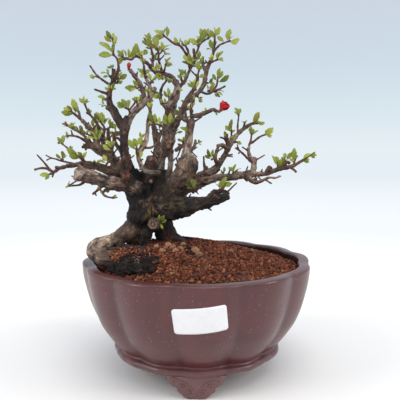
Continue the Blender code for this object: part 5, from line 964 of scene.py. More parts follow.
def dropLooseBits(mesh):  # keeps the largest joined part of a mesh
    bm = bmesh.new()
    bm.from_mesh(mesh)
    parts, waiting = [], set(bm.verts)
    while waiting:
        part = edge = {waiting.pop()}
        while edge:
            edge = {link.other_vert(vert) for vert in edge for link in vert.link_edges} & waiting
            waiting -= edge
            part |= edge
        parts.append(part)
    loose = set(bm.verts) - max(parts, key=len)
    bmesh.ops.delete(bm, geom=list(loose), context="VERTS")
    bm.to_mesh(mesh)
    bm.free()


def woodRoutes():  # names of the branches, and rows of all of them with the spurs last
    draw = random.Random("quince wood")
    names, routes = [], []
    for group in (trunkRoutes, rootRoutes, limbRoutes, twigRoutes, knotRoutes):
        for name, points in group.items():
            names.append(name)
            rows = smoothRoute(points, woodLook["step"])
            if group is not rootRoutes:
                rows[:, 3] *= np.interp(rows[:, 3] / mm, *woodLook["slimness"])
            routes.append(livelyRoute(rows, draw))
    bearing = [rows for name, rows in zip(names, routes) if name in {**limbRoutes, **twigRoutes}]
    return names, routes + spurRoutes(bearing, draw)


def meltTubes(tubes):  # one skin round all tubes, and the broken limb's end hollowed out
    holder = linkedObject("melted tubes", tubes)
    melt = holder.modifiers.new("melt", "REMESH")
    melt.mode, melt.voxel_size = "VOXEL", woodLook["voxel"]
    applyModifiers(holder)
    print(f"melted: {len(holder.data.polygons)} faces")
    hollow = tubesMesh("hollow", [sightedRoute(hollowEnd)], woodLook["sides"])
    cutter = linkedObject("hollow", hollow)
    cut = holder.modifiers.new("hollow end", "BOOLEAN")
    cut.operation, cut.solver, cut.object = "DIFFERENCE", "MANIFOLD", cutter
    soften = holder.modifiers.new("soften", "SMOOTH")
    soften.factor, soften.iterations = 0.5, woodLook["smoothing"]
    applyModifiers(holder)
    bpy.data.objects.remove(cutter)
    return holder


def thinOut(holder):
    thin = holder.modifiers.new("fewer faces", "DECIMATE")
    triangles = sum(len(face.vertices) - 2 for face in holder.data.polygons)
    thin.ratio = min(1.0, woodLook["triangles"] / triangles)
    applyModifiers(holder)
    dropLooseBits(holder.data)


def makeWood():
    names, routes = woodRoutes()
    tubes = tubesMesh("tubes", routes, woodLook["sides"])
    bm = bmesh.new()
    bm.from_mesh(tubes)
    bm.faces.ensure_lookup_table()
    tubeTree = BVHTree.FromBMesh(bm)
    faceRoutes = [face.material_index for face in bm.faces]
    bm.free()

    def placedPoints(mesh):
        points = vertexRows(mesh, "co")
        owners = np.array([faceRoutes[tubeTree.find_nearest(point)[2]] for point in points])
        return points, vertexRows(mesh, "normal"), owners, *branchPlaces(points, routes, owners)

    def routeValues(name):  # one value for each route
        values = [woodLook[name].get(route, woodLook["other " + name]) for route in names]
        return np.array(values + [woodLook["other " + name]] * spurLook["count"])

    rough, pale = routeValues("roughness"), routeValues("paleness")
    holder = meltTubes(tubes)
    mesh = holder.data
    points, normals, owners, places, radii = placedPoints(mesh)
    heights = barkHeights(places, radii, rough[owners], points) * mm + woodLook["shrinkage"]
    for name in cutLook["on"]:
        mine, share = cutShares(places, radii, routes, owners, normals, names.index(name))
        cut = cutLook["ring height"] * np.sin(share * radii * cutLook["rings"])
        cut += cutLook["lip height"] * (share > cutLook["lip from"])
        cut -= cutLook["dish"] * (1.0 - share ** 2)
        heights[mine] = cut[mine] * mm
    carved = points + normals * heights[:, None]
    mesh.vertices.foreach_set("co", carved.astype(np.float32).ravel())
    mesh.update()
    thinOut(holder)

    mesh = holder.data
    points, normals, owners, places, radii = placedPoints(mesh)
    heights = barkHeights(places, radii, rough[owners], points)
    tones = barkTones(places, radii, pale[owners], heights, points, normals)
    waver = cutLook["ring waver"] * noiseRows(points, 260.0, 3.0)
    plain = np.tile(barkColours["cut"], (len(points), 1))
    for name in cutLook["on"]:
        mine, share = cutShares(places, radii, routes, owners, normals, names.index(name))
        dark = 0.35 - 0.4 * np.sin(share * radii * cutLook["rings"] + waver)
        mine &= share < cutLook["bark from"]
        tones[mine] = mixColours(plain, barkColours["ring"], dark)[mine]
    writeLayers(mesh, places, tones)
    bpy.data.objects.remove(holder)
    mesh.materials.clear()
    return putPiece("trunk_and_branches", mesh, [barkFinish], ["tree_wood"]), routes


woodPiece, woodRows = makeWood()
woodTree = searchTree(woodPiece)


# leafy sprays: stems of bark with bud scales, and leaves where the solids have theirs
leafLook = {
    "rows": 7, "columns": 4,  # faces along and across a blade
    "width": 0.41,  # share of its length
    "thickness": 0.26 * mm,
    "fold": 0.24, "teeth": 0.045, "wave": 0.035, "twist": 0.12, "bluntness": (1.1, 1.4),
    "stalk": 0.14,  # share of the length before the blade widens
    "facing": (0.0, -1.0, 0.35),
    "lean": (-0.62, 0.62), "turn": (-1.1, 1.1), "arch": (0.03, 0.12),
    "tries": 52, "short share": 0.72,  # the solids' own draws, and those of a shorter leaf
    "bronze share": 0.1, "more bronze": (5.5, 0.2),  # below this length, this much more
    "light": (0.43, 0.45, 0.08), "green": (0.125, 0.158, 0.018),
    "bronze": (0.27, 0.15, 0.045),
}
sprayLook = {
    "step": 1.3 * mm,
    "sides": 8,
    "slimness": 0.84,  # share of a stem's radius that is kept
    "depth in the wood": 1.2 * mm,
    "spacing": 1.35 * mm,  # of the leaves of a rosette along their stem
    "tip margin": 0.6 * mm,
    "side twig": (2.0 * mm, 0.8 * mm),  # made for a rosette further off than this, this thick
    "least length": 8.0,  # shorter leaves of a full rosette are in scene.py alone
    "high crown": 203.0 * mm,  # rosettes above this get one more leaf
    "extra share": 0.35,  # of the low rosettes do too
    "extra length": (0.4, 0.7), "extra lean": (0.2, 0.75), "extra fan": 70.0,
    "bud": [(-1.5, 0.7), (0.0, 1.15), (0.9, 0.9), (1.7, 0.4)],  # (along, radius), millimetres
    "paleness": 0.3,
}
tuftLook = {  # small leaves at the tips of the spurs
    "above": 203.0 * mm, "bare whip": (-70.0 * mm, 215.0 * mm),  # none further left and higher
    "share": 0.42, "leaves": (2, 3, 3, 4), "length": (3.0, 6.5), "fan": 1.0, "lean": 0.7,
    "depth": 0.8, "arch": 0.08, "tone": (4.0, 7.0),
}
sproutLook = {  # the tuft beside the cut stub
    "foot": (-31.0, 131.0, -12.0),
    "leaves": [(62, 8.0), (95, 7.5), (28, 6.5), (128, 5.5), (250, 4.5), (300, 5.0)],
    "lean": (-0.7, -0.35), "turn": (-0.8, 0.8), "arch": 0.08, "tone": 9.0,
}


def leafSheet():  # an empty mesh with the layers that leaves and stems carry
    bm = bmesh.new()
    bm.verts.layers.float_vector.new("blade")
    bm.verts.layers.float_color.new("tone")
    bm.verts.layers.float_vector.new("grain")
    return bm


def makeLeafMesh(seed):  # a leaf 1 long and 1 wide along +Y, face up, with its own shape
    draw = random.Random(seed)
    rows, stalk = leafLook["rows"], leafLook["stalk"]
    bm = leafSheet()
    blade = bm.verts.layers.float_vector["blade"]
    bmesh.ops.create_grid(bm, x_segments=leafLook["columns"], y_segments=rows, size=0.5)
    twist = draw.uniform(-leafLook["twist"], leafLook["twist"])
    blunt = draw.uniform(*leafLook["bluntness"])
    for vert in bm.verts:
        across, along = 2.0 * vert.co.x, vert.co.y + 0.5
        vert[blade] = (across, along, 0.0)
        grown = max(0.0, along - stalk) / (1.0 - stalk)
        half = 0.05 + 0.95 * math.sin(math.pi * min(0.97, grown) ** blunt) ** 0.72
        tooth = leafLook["teeth"] * (1 if round(along * rows) % 2 else -1) * (abs(across) > 0.9)
        tooth *= 0.15 < along < 0.95
        vert.co.x = 0.5 * across * (half + tooth)
        vert.co.y = along + 0.03 * tooth
        cup = leafLook["fold"] * abs(across) ** 1.3 * half * 0.5
        wave = leafLook["wave"] * math.sin(9.0 * along + 3.0 * across) * abs(across)
        vert.co.z = cup + wave + twist * across * along
    bmesh.ops.recalc_face_normals(bm, faces=bm.faces)
    if sum(face.normal.z for face in bm.faces) < 0:
        bmesh.ops.reverse_faces(bm, faces=bm.faces)
    return meshFrom(bm, "leaf pattern")


leafPatterns = [makeLeafMesh(seed) for seed in range(6)]


def leafFrame(foot, angle, length, lean, turn):
    flat = math.sqrt(1.0 - lean * lean)
    along = Vector((math.cos(angle) * flat, lean, math.sin(angle) * flat))
    face = Vector(leafLook["facing"])
    face = (face - along * face.dot(along)).normalized()
    side = along.cross(face)
    face = face * math.cos(turn) + side * math.sin(turn)
    matrix = Matrix((along.cross(face), along, face)).transposed().to_4x4()
    matrix.translation = foot
    return matrix, length / max(0.75, flat)


def leafDraw(seed, attempt):
    draw = random.Random(f"{seed} {attempt}")
    return [draw.uniform(*leafLook[name]) for name in ("lean", "turn", "arch")]


def chosenDraw(seed, foot, angle, length, solid):  # the draw that the solid's leaf was made with
    best = None
    for attempt in range(1, 2 * leafLook["tries"] + 1):
        lean, turn, arch = leafDraw(seed, attempt)
        kept = length if attempt <= leafLook["tries"] else leafLook["short share"] * length
        matrix, real = leafFrame(foot, angle, kept, lean, turn)
        spots = ((0.0, 1.0, -arch), (0.23, 0.64, 0.28 * arch), (-0.23, 0.64, 0.28 * arch),
                 (0.0, 0.35, 0.56 * arch))
        far = max(solid.find_nearest(matrix @ (Vector(spot) * real * mm))[3] for spot in spots)
        if best is None or far < best[0]:
            best = (far, matrix, real, arch)
    return best[1:]


def addLeaf(bm, pattern, matrix, length, arch, tone):
    start = len(bm.verts)
    bm.from_mesh(leafPatterns[pattern])
    bm.verts.ensure_lookup_table()
    verts = bm.verts[start:]
    colour = bm.verts.layers.float_color["tone"]
    size = Vector((leafLook["width"], 1.0, leafLook["width"])) * length * mm
    for vert in verts:
        along = vert.co.y
        vert.co = vert.co * size
        vert.co.z += arch * along * (3.0 - 4.0 * along) * length * mm
        vert[colour] = (*tone, 1.0)
    bmesh.ops.transform(bm, matrix=matrix, verts=verts)


def leafTone(draw, length):
    light, green, bronze = (Vector(leafLook[name]) for name in ("light", "green", "bronze"))
    tone = light.lerp(green, min(1.0, max(0.0, draw.gauss(0.46, 0.32))))
    small, more = leafLook["more bronze"]
    if draw.random() < leafLook["bronze share"] + (more if length < small else 0.0):
        tone = tone.lerp(bronze, draw.uniform(0.25, 0.7))
    return tone


def rowSteps(rows):  # foot and way of each step of a stem
    return [(Vector(start[:3]), Vector(end[:3]) - Vector(start[:3]))
            for start, end in zip(rows, rows[1:])]


def spotNear(rows, point):  # (distance from the point, distance from the root)
    spots, walked = [], 0.0
    for foot, along in rowSteps(rows):
        gap = point - foot
        share = min(1.0, max(0.0, gap.dot(along) / along.length_squared))
        spots.append(((gap - along * share).length, walked + along.length * share))
        walked += along.length
    return min(spots)


def spotAt(rows, distance):  # (position, direction of growth)
    steps = rowSteps(rows)
    for foot, along in steps:
        if distance <= along.length or along is steps[-1][1]:
            return foot + along.normalized() * distance, along.normalized()
        distance -= along.length


def leafFeet(rows, centre, pairs):
    margin, spacing = sprayLook["tip margin"], sprayLook["spacing"]
    last = walkedRows(rows)[-1] - margin
    first = min(centre - (len(pairs) - 1) / 2 * spacing, last - (len(pairs) - 1) * spacing)
    growth = spotAt(rows, min(centre, last))[1]

    def upright(pair):
        angle = math.radians(pair[0])
        return growth.x * math.cos(angle) + growth.z * math.sin(angle)

    order = sorted(pairs, key=upright)
    return {pair: spotAt(rows, max(margin, first + order.index(pair) * spacing))[0]
            for pair in pairs}


def stemTubes(stems, draw):  # the first one goes on a little way into the wood
    tubes = [livelyRoute(smoothRoute(points, sprayLook["step"]), draw) for points in stems]
    for rows in tubes:
        rows[:, 3] *= sprayLook["slimness"]
    toTrunk = Vector(tubes[0][0, :3]) - Vector(tubes[0][1, :3])
    rooted = tubes[0][0].copy()
    rooted[:3] += np.array(toTrunk.normalized()) * sprayLook["depth in the wood"]
    tubes[0] = np.vstack([rooted, tubes[0]])
    return tubes


def stemBark(tubes):
    bark = tubesMesh("stems", tubes, sprayLook["sides"])
    points = vertexRows(bark, "co")
    places, radii = branchPlaces(points, tubes, vertexOwners(bark))
    heights = barkHeights(places, radii, 1.0, points)
    paleness = np.full(len(points), sprayLook["paleness"])
    tones = barkTones(places, radii, paleness, heights, points, vertexRows(bark, "normal"))
    writeLayers(bark, places, tones)
    giveFinish(bark.polygons, 1)
    return bark


def makeSpray(name, stems, rosettes):
    draw = random.Random(name)
    solid = searchTree(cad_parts[name])
    straight = [sightedRoute(points) for points in stems]
    tubes = stemTubes(stems, draw)
    bm = leafSheet()
    for index, (across, up, depth, *pairs) in enumerate(rosettes):
        base = sighted(across, up, depth)
        (gap, centre), rows = min(((spotNear(path, base), path) for path in straight),
                                  key=lambda entry: entry[0])
        farOff, radius = sprayLook["side twig"]
        if gap > farOff:
            rows = np.array([[*spotAt(rows, centre)[0], radius], [*base, radius]])
            tubes.append(rows.copy())
            centre = gap
        longest = max(length for _, length in pairs)
        large = [pair for pair in pairs if pair[1] >= min(sprayLook["least length"], longest)]
        feet = leafFeet(rows, centre, large)
        for pair in pairs:
            seed = f"{name} {index} {pair[0]}"
            angle, pattern = math.radians(pair[0]), draw.randrange(len(leafPatterns))
            if pair in feet:
                matrix, real, arch = chosenDraw(seed, feet[pair], angle, pair[1], solid)
            else:
                lean, turn, arch = leafDraw(seed, 1)
                foot = base + Vector((draw.uniform(-1, 1), draw.uniform(-1, 1), 0.0)) * 0.6 * mm
                matrix, real = leafFrame(foot, angle, pair[1], lean, turn)
            addLeaf(bm, pattern, matrix, real, arch, leafTone(draw, real))
        growth = spotAt(rows, min(centre, walkedRows(rows)[-1]))[1]
        middle = sum(pair[0] for pair in pairs) / len(pairs)
        if base.z > sprayLook["high crown"] or draw.random() < sprayLook["extra share"]:
            fan = sprayLook["extra fan"]
            angle = math.radians(middle + draw.uniform(-fan, fan))
            length = longest * draw.uniform(*sprayLook["extra length"])
            lean = draw.choice((-1, 1)) * draw.uniform(*sprayLook["extra lean"])
            foot = base + growth * draw.uniform(-1.5, 1.0) * mm
            turn = draw.uniform(*leafLook["turn"])
            matrix, real = leafFrame(foot, angle, length, lean, turn)
            pattern, arch = draw.randrange(len(leafPatterns)), draw.uniform(*leafLook["arch"])
            addLeaf(bm, pattern, matrix, real, arch, leafTone(draw, real * 0.7))
        tubes.append(np.array([[*(base + growth * along * mm), radius * mm]
                               for along, radius in sprayLook["bud"]]))
    thicken(bm, leafLook["thickness"])
    bm.from_mesh(stemBark(tubes))
    putPiece("leafy_" + name, bm, [leafFinish, barkFinish], [name])


def makeTufts():
    draw = random.Random("tufts")
    bm = leafSheet()
    for rows in woodRows[-spurLook["count"]:]:
        tip = Vector(rows[-1, :3])
        growth = (tip - Vector(rows[0, :3])).normalized()
        bare = tip.x < tuftLook["bare whip"][0] and tip.z > tuftLook["bare whip"][1]
        if bare or tip.z < tuftLook["above"] or draw.random() > tuftLook["share"]:
            continue
        for _ in range(draw.choice(tuftLook["leaves"])):
            fan, lean = tuftLook["fan"], tuftLook["lean"]
            angle = math.atan2(growth.z, growth.x) + draw.uniform(-fan, fan)
            matrix, real = leafFrame(tip - growth * tuftLook["depth"] * mm, angle,
                                     draw.uniform(*tuftLook["length"]),
                                     draw.uniform(-lean, lean), draw.uniform(*leafLook["turn"]))
            addLeaf(bm, draw.randrange(len(leafPatterns)), matrix, real, tuftLook["arch"],
                    leafTone(draw, draw.uniform(*tuftLook["tone"])))
    thicken(bm, leafLook["thickness"])
    putPiece("tufts_on_spurs", bm, [leafFinish])


def makeSprout():
    draw = random.Random("sprout")
    bm = leafSheet()
    foot = woodTree.find_nearest(sighted(*sproutLook["foot"]))[0]
    for turnDeg, length in sproutLook["leaves"]:
        matrix, real = leafFrame(foot, math.radians(turnDeg), length,
                                 draw.uniform(*sproutLook["lean"]),
                                 draw.uniform(*sproutLook["turn"]))
        tone = leafTone(draw, sproutLook["tone"])
        addLeaf(bm, draw.randrange(len(leafPatterns)), matrix, real, sproutLook["arch"], tone)
    thicken(bm, leafLook["thickness"])
    putPiece("sprout_by_the_stub", bm, [leafFinish])


makeSprout()
makeTufts()
for name, (stems, rosettes) in sprays.items():
    makeSpray("spray_" + name, stems, rosettes)


# the pot: a profile turned round its axis, its creases pulled in, and three cloud-shaped feet
potLook = {
    "lobes": 12,
    "first crease": math.radians(20.2),
    "crease softness": 0.0015,
    "steps": 240,
    "row step": 1.6,
    # (radius, height, depth of the creases), from the drain hole up, over the rim and back
    "bowl": [(13.0, 22.0, 0), (13.0, 25.0, 0), (14.2, 26.0, 0), (36.0, 26.0, 0),
             (58.0, 26.0, 0.2), (64.5, 28.6, 0.6), (77.0, 39.0, 1.6), (85.0, 53.0, 2.2),
             (90.4, 68.0, 2.6), (93.6, 84.0, 2.8)],
    "lip": [(93.2, 91.0, 2.7), (92.9, 96.4, 2.6), (93.1, 98.3, 2.6), (94.0, 99.0, 2.7),
            (96.6, 99.1, 2.9), (100.0, 98.8, 3.2), (101.6, 98.6, 3.4), (102.3, 97.9, 3.5),
            (102.5, 96.6, 3.6)],
    "wall": [(102.1, 91.0, 3.8), (100.8, 82.0, 4.0), (97.2, 67.0, 4.2), (93.8, 57.0, 4.3),
             (89.6, 48.0, 4.2), (80.6, 35.0, 3.8), (74.0, 27.6, 3.1)],
    "base": [(72.4, 25.6, 2.0), (73.4, 24.6, 1.4), (74.9, 23.9, 1.2), (75.8, 22.4, 1.0),
             (75.7, 20.6, 1.0), (74.6, 19.0, 0.8), (72.6, 18.2, 0.6), (66.0, 18.2, 0.2),
             (40.0, 18.2, 0), (14.2, 18.2, 0), (13.0, 19.2, 0)],
    "shaped from": 66.0,  # radius from which the lobes and the waviness start
    "waviness": 0.45,  # millimetres, out and in
    "flange": 26.0, "flange waviness": 1.0, "flange rise": 0.7,  # below this height
    "rim": 93.0, "rim rise": 0.55, "rim dip": 0.5,  # above this height
    "crease shade": 0.24,
    "rim colour": (0.098, 0.031, 0.029), "rim fade": (97.4, 1.2),  # from this height, over this
    "flange colour": (0.116, 0.039, 0.038), "flange fade": (27.0, 3.0),
    "ripple": 1.6,  # millimetres that the fades wander
    "clay": (0.094, 0.0225, 0.0235),
    "inside": (0.036, 0.015, 0.015),
    "under": 24.0,
}
footLook = {
    "turns": (-90.0, 30.0, 150.0),
    "outline": [(5.0, 0.0), (7.8, 0.7), (10.2, 2.2), (11.4, 3.8), (13.0, 4.9), (14.8, 6.6),
                (15.6, 9.0), (18.2, 10.6), (20.2, 12.2), (20.7, 14.4), (22.8, 16.2),
                (23.6, 19.6)],
    "radius": 72.0, "thickness": 10.0, "back share": 0.82, "bevel": 0.8, "lumps": 0.35,
    "curls": ((5.6, 5.6, 2.2), (11.0, 10.8, 2.5), (17.4, 15.8, 2.0)),  # across, up, size
    "curl parts": 9,
    "stem": ((1.6, 2.6), (3.4, 7.6), (7.4, 12.6), (13.6, 15.6), (18.6, 18.4)),
    "arch": ((-4.0, 2.4, 0.5), (0.0, 4.4, 0.7), (4.0, 2.4, 0.5)),
    "colour": (0.150, 0.064, 0.064),
}


def creaseShare(angle):  # 1 in a crease, 0 along the middle of a lobe
    wave = math.sin(potLook["lobes"] / 2.0 * (angle - potLook["first crease"]))
    return 1.0 - math.sqrt(wave * wave + potLook["crease softness"])


def onPot(x, y, z):  # millimetres from the pot's axis to metres in the scene
    return (Vector((x, y, z)) + potAxis) * mm


def wavySpot(angle, height):  # where the pot's waviness is read
    return Vector((2.2 * math.cos(angle), 2.2 * math.sin(angle), height * 0.03))


def clayTone(height, angle, outside):
    clay, rim, flange, inside = (
        Vector(potLook[name]) for name in ("clay", "rim colour", "flange colour", "inside"))
    spot = (3.0 * math.cos(angle), 3.0 * math.sin(angle), 0.05 * height)
    ripple = potLook["ripple"] * noise.noise(spot)
    rimFrom, rimOver = potLook["rim fade"]
    flangeTo, flangeOver = potLook["flange fade"]
    rimShare = min(1.0, max(0.0, (height - rimFrom + 0.5 * ripple) / rimOver))
    flangeShare = min(1.0, max(0.0, (flangeTo - height + ripple) / flangeOver))
    tone = clay.lerp(flange, flangeShare) if outside else inside
    tone = tone * (1.0 - potLook["crease shade"] * creaseShare(angle) ** 5)
    return tone.lerp(rim, rimShare)


def footScrolls():  # the raised lines on a foot: curls and a stem on each side, an arch between
    front = -footLook["radius"]
    scrolls = []
    for side in (-1.0, 1.0):
        for x, z, size in footLook["curls"]:
            rows = []
            for part in range(footLook["curl parts"]):
                turn, reach = 0.7 * part - 0.6, size * (1.0 - 0.09 * part)
                rows.append((side * (x + reach * math.cos(turn)), front - 0.2,
                             z + 0.8 * reach * math.sin(turn), 0.85 - 0.05 * part))
            scrolls.append(smoothRows(rows, 0.7))
        stem = [(side * x, front - 0.1, z, 0.7) for x, z in footLook["stem"]]
        scrolls.append(smoothRows(stem, 1.0))
    arch = [(x, front + 0.1, z, radius) for x, z, radius in footLook["arch"]]
    return scrolls + [smoothRows(arch, 0.8)]


def makeFoot(turnDeg):
    outline = smoothRows([(x, 0.0, z, 0.0) for x, z in footLook["outline"]], 0.9)
    bm = bmesh.new()
    front = [(row[0], row[2]) for row in outline]
    front += [(-x, z) for x, z in reversed(front)]
    face = bm.faces.new([bm.verts.new((x, -footLook["radius"], z)) for x, z in front])
    pushed = bmesh.ops.extrude_face_region(bm, geom=[face])["geom"]
    moved = [part for part in pushed if isinstance(part, bmesh.types.BMVert)]
    bmesh.ops.translate(bm, verts=moved, vec=(0.0, footLook["thickness"], 0.0))
    for vert in moved:
        vert.co.x *= footLook["back share"]
    rims = [edge for edge in bm.edges if abs(edge.verts[0].co.y - edge.verts[1].co.y) < 0.1]
    bmesh.ops.bevel(bm, geom=rims, offset=footLook["bevel"], segments=3, profile=0.5,
                    affect="EDGES", material=-1)
    bmesh.ops.triangulate(bm, faces=[face for face in bm.faces if len(face.verts) > 4])
    bm.from_mesh(tubesMesh("scrolls", footScrolls(), 8))
    for vert in bm.verts:
        vert.co.y += noise.noise(vert.co * 0.16) * footLook["lumps"]
        vert.co.z = max(vert.co.z, 0.0)
    turn = Matrix.Rotation(math.radians(turnDeg + 90.0), 3, "Z")
    bmesh.ops.rotate(bm, verts=bm.verts, cent=(0, 0, 0), matrix=turn)
    return meshFrom(bm, "foot")


def turnedPot():  # the profile spun round, with the depth of the creases kept in a layer
    profile = [row for part in ("bowl", "lip", "wall", "base") for row in potLook[part]]
    rows = smoothRows([(radius, 0.0, height, crease) for radius, height, crease in profile],
                      potLook["row step"], closed=True)
    bm = bmesh.new()
    depth = bm.verts.layers.float.new("depth")
    bm.verts.layers.float_color.new("tone")
    ring = []
    for radius, _, height, crease in rows:
        vert = bm.verts.new((radius, 0.0, height))
        vert[depth] = crease
        ring.append(vert)
    edges = [bm.edges.new(pair) for pair in zip(ring, ring[1:] + ring[:1])]
    bmesh.ops.spin(bm, geom=ring + edges, axis=(0, 0, 1), cent=(0, 0, 0), angle=fullTurn,
                   steps=potLook["steps"], use_merge=True)
    bmesh.ops.remove_doubles(bm, verts=bm.verts, dist=1e-3)
    bmesh.ops.recalc_face_normals(bm, faces=bm.faces)
    bm.normal_update()
    return bm


def makePot():
    bm = turnedPot()
    depth, tone = bm.verts.layers.float["depth"], bm.verts.layers.float_color["tone"]
    outward = {vert: vert.normal.x * vert.co.x + vert.normal.y * vert.co.y > 0
               for vert in bm.verts}
    for vert in bm.verts:
        radius, angle = math.hypot(vert.co.x, vert.co.y), math.atan2(vert.co.y, vert.co.x)
        outside = outward[vert] or vert.co.z < potLook["under"]
        vert[tone] = (*clayTone(vert.co.z, angle, outside), 1.0)
        if radius <= potLook["shaped from"]:
            continue
        spot = wavySpot(angle, vert.co.z)
        wave = noise.noise(spot) * potLook["waviness"]
        pulled = radius - vert[depth] * creaseShare(angle) + wave
        if vert.co.z < potLook["flange"]:
            pulled += potLook["flange waviness"] * noise.noise(spot * 3.0)
            uneven = noise.noise(spot * 2.6 + Vector((9, 0, 0)))
            vert.co.z += potLook["flange rise"] * uneven
        if vert.co.z > potLook["rim"]:
            vert.co.z += (potLook["rim rise"] * noise.noise(spot * 1.4)
                          - potLook["rim dip"] * creaseShare(angle))
        vert.co.x *= pulled / radius
        vert.co.y *= pulled / radius
    start = len(bm.verts)
    for turnDeg in footLook["turns"]:
        bm.from_mesh(makeFoot(turnDeg))
    bm.verts.ensure_lookup_table()
    for vert in bm.verts[start:]:
        vert[tone] = (*footLook["colour"], 1.0)
    giveFinish(bm.faces, 0)
    for vert in bm.verts:
        vert.co = onPot(*vert.co)
    bmesh.ops.recalc_face_normals(bm, faces=bm.faces)
    putPiece("lobed_pot", bm, [clayFinish], ["pot"])


makePot()


# the blank label on the front lobe
labelLook = {
    "size": (41.5, 20.8), "corner": 2.2, "grid": (28, 14),
    "centre": math.radians(-88.4), "height": 72.5, "tilt": math.radians(6.6),
    "gap": 0.35, "thickness": 0.25, "lift": 0.12,
}


def outerRadius(angle, height):
    radii, heights, creases = zip(*reversed(potLook["wall"]))
    radius, crease = np.interp(height, heights, radii), np.interp(height, heights, creases)
    wave = noise.noise(wavySpot(angle, height)) * potLook["waviness"]
    return radius - crease * creaseShare(angle) + wave


def makeLabel():
    bm = bmesh.new()
    columns, rows = labelLook["grid"]
    bmesh.ops.create_grid(bm, x_segments=columns, y_segments=rows, size=0.5)
    half = [side / 2.0 for side in labelLook["size"]]
    corner, tilt = labelLook["corner"], labelLook["tilt"]
    for vert in bm.verts:
        flat = [vert.co.x * 2.0 * half[0], vert.co.y * 2.0 * half[1]]
        over = [abs(flat[axis]) - (half[axis] - corner) for axis in (0, 1)]
        if min(over) > 0.0:
            shrink = max(over) / math.hypot(*over)
            flat = [math.copysign(half[axis] - corner + over[axis] * shrink, flat[axis])
                    for axis in (0, 1)]
        across = flat[0] * math.cos(tilt) - flat[1] * math.sin(tilt)
        height = labelLook["height"] + flat[0] * math.sin(tilt) + flat[1] * math.cos(tilt)
        angle = labelLook["centre"] + across / outerRadius(labelLook["centre"], height)
        lift = labelLook["lift"] * noise.noise((across * 0.2, height * 0.2, 1.0))
        radius = outerRadius(angle, height) + labelLook["gap"] + lift
        vert.co = onPot(radius * math.cos(angle), radius * math.sin(angle), height)
    bmesh.ops.recalc_face_normals(bm, faces=bm.faces)
    if sum(face.normal.y for face in bm.faces) > 0:
        bmesh.ops.reverse_faces(bm, faces=bm.faces)
    thicken(bm, labelLook["thickness"] * mm)
    putPiece("blank_label", bm, [paperFinish], ["label"])


makeLabel()


# baked clay grains on the soil, with tan chips and dark crumbs among the roots
soilLook = {
    "edge": 90.5, "rise": 23.5, "peak": (-33.0, 8.0), "spread": (74.0, 70.0),
    "wall radius": 92.6,
    "layers": (("grains_below", 0.1, 0.95), ("grains_above", 1.2, 0.7)),  # name, lift, share
    "layer shift": (0.33, 0.5),  # pitches across, millimetres back
    "pitch": 2.55,  # millimetres between neighbouring grains
    "scatter": 0.7, "uneven": 0.35,  # millimetres aside, and up and down
    "wall margin": (2.8, 0.6),  # millimetres in a crease, and share of a grain's size
    "depth in the wood": 1.2 * mm,  # deeper grains are left out
    "sizes": (1.05, 1.85),
    "colours": [(0.165, 0.053, 0.028), (0.23, 0.080, 0.040), (0.115, 0.036, 0.022),
                (0.29, 0.120, 0.062), (0.07, 0.025, 0.016)],
    "how often": (5, 4, 4, 1, 4),
    "tan": (0.285, 0.158, 0.094), "dark": (0.022, 0.013, 0.010), "white": (0.62, 0.58, 0.52),
}
grainLook = {"stretch": (0.72, 1.15), "dents": (0.84, 1.12), "shade": (0.75, 1.25), "batch": 150}
crumbLook = {
    "chips": [(-24.6, -17.3, 3.0), (-12.1, -14.3, 3.2), (-18.4, -30.0, 2.6),
              (-13.5, -25.3, 2.4), (-0.5, -27.4, 3.4), (2.1, -35.0, 2.6), (-29.6, -28.8, 2.4),
              (-20.6, -21.0, 2.7), (-35.6, -18.4, 2.4), (-27.0, -23.0, 2.1),
              (30.0, -12.0, 2.2), (52.0, 20.0, 2.1)],
    "chip lift": 1.6, "chip scale": 1.35,
    "dark spots": [(-5.7, -28.6, 3.5), (-4.7, -35.6, 3.0), (-13.6, 20.0, 5.0),
                   (-8.3, 10.1, 4.5), (-9.3, -19.8, 3.5), (-38.0, -50.0, 6.0),
                   (-62.0, -60.0, 5.0)],
    "spot crumbs": 9, "spot spread": 0.5, "spot lift": (1.0, 2.2), "spot sizes": (0.5, 1.5),
    # crumbs dropped on the roots from above
    "tries": 3600, "field": (-92.0, -28.0, -66.0, 8.0), "from height": 113.0,
    "sizes": (0.6, 1.6),
    "steepest": 0.15, "deepest": 2.0,  # on wood at least this level, this far under the soil
    "bare loop": 0.96, "bare front": 0.5, "red to": 0.8, "white from": 0.985,  # shares
}


def soilHeight(x, y):
    share = min(1.0, math.hypot(x, y) / soilLook["wall radius"])
    spread = sum(((value - peak) / width) ** 2
                 for value, peak, width in zip((x, y), soilLook["peak"], soilLook["spread"]))
    return soilLook["edge"] + soilLook["rise"] * (1.0 - share ** 3) * math.exp(-0.5 * spread)


def insideWood(point, depth):
    hit, normal, _, distance = woodTree.find_nearest(point)
    return (point - hit).dot(normal) < 0.0 and distance > depth


def addGrain(bm, place, size, colour, draw):
    turn = draw.uniform(0.0, fullTurn)
    turn = Matrix.Rotation(turn, 4, Vector([draw.gauss(0, 1) for _ in "xyz"]))
    stretch = [draw.uniform(*grainLook["stretch"]) for _ in "xyz"]
    matrix = Matrix.Translation(place) @ turn @ Matrix.Diagonal((*stretch, 1.0))
    made = bmesh.ops.create_icosphere(bm, subdivisions=1, radius=size * mm, matrix=matrix)
    tone = bm.verts.layers.float_color["tone"]
    shade = draw.uniform(*grainLook["shade"])
    for vert in made["verts"]:
        vert.co = place + (vert.co - place) * draw.uniform(*grainLook["dents"])
        vert[tone] = (*[channel * shade for channel in colour], 1.0)


def tonedSheet():
    bm = bmesh.new()
    bm.verts.layers.float_color.new("tone")
    return bm


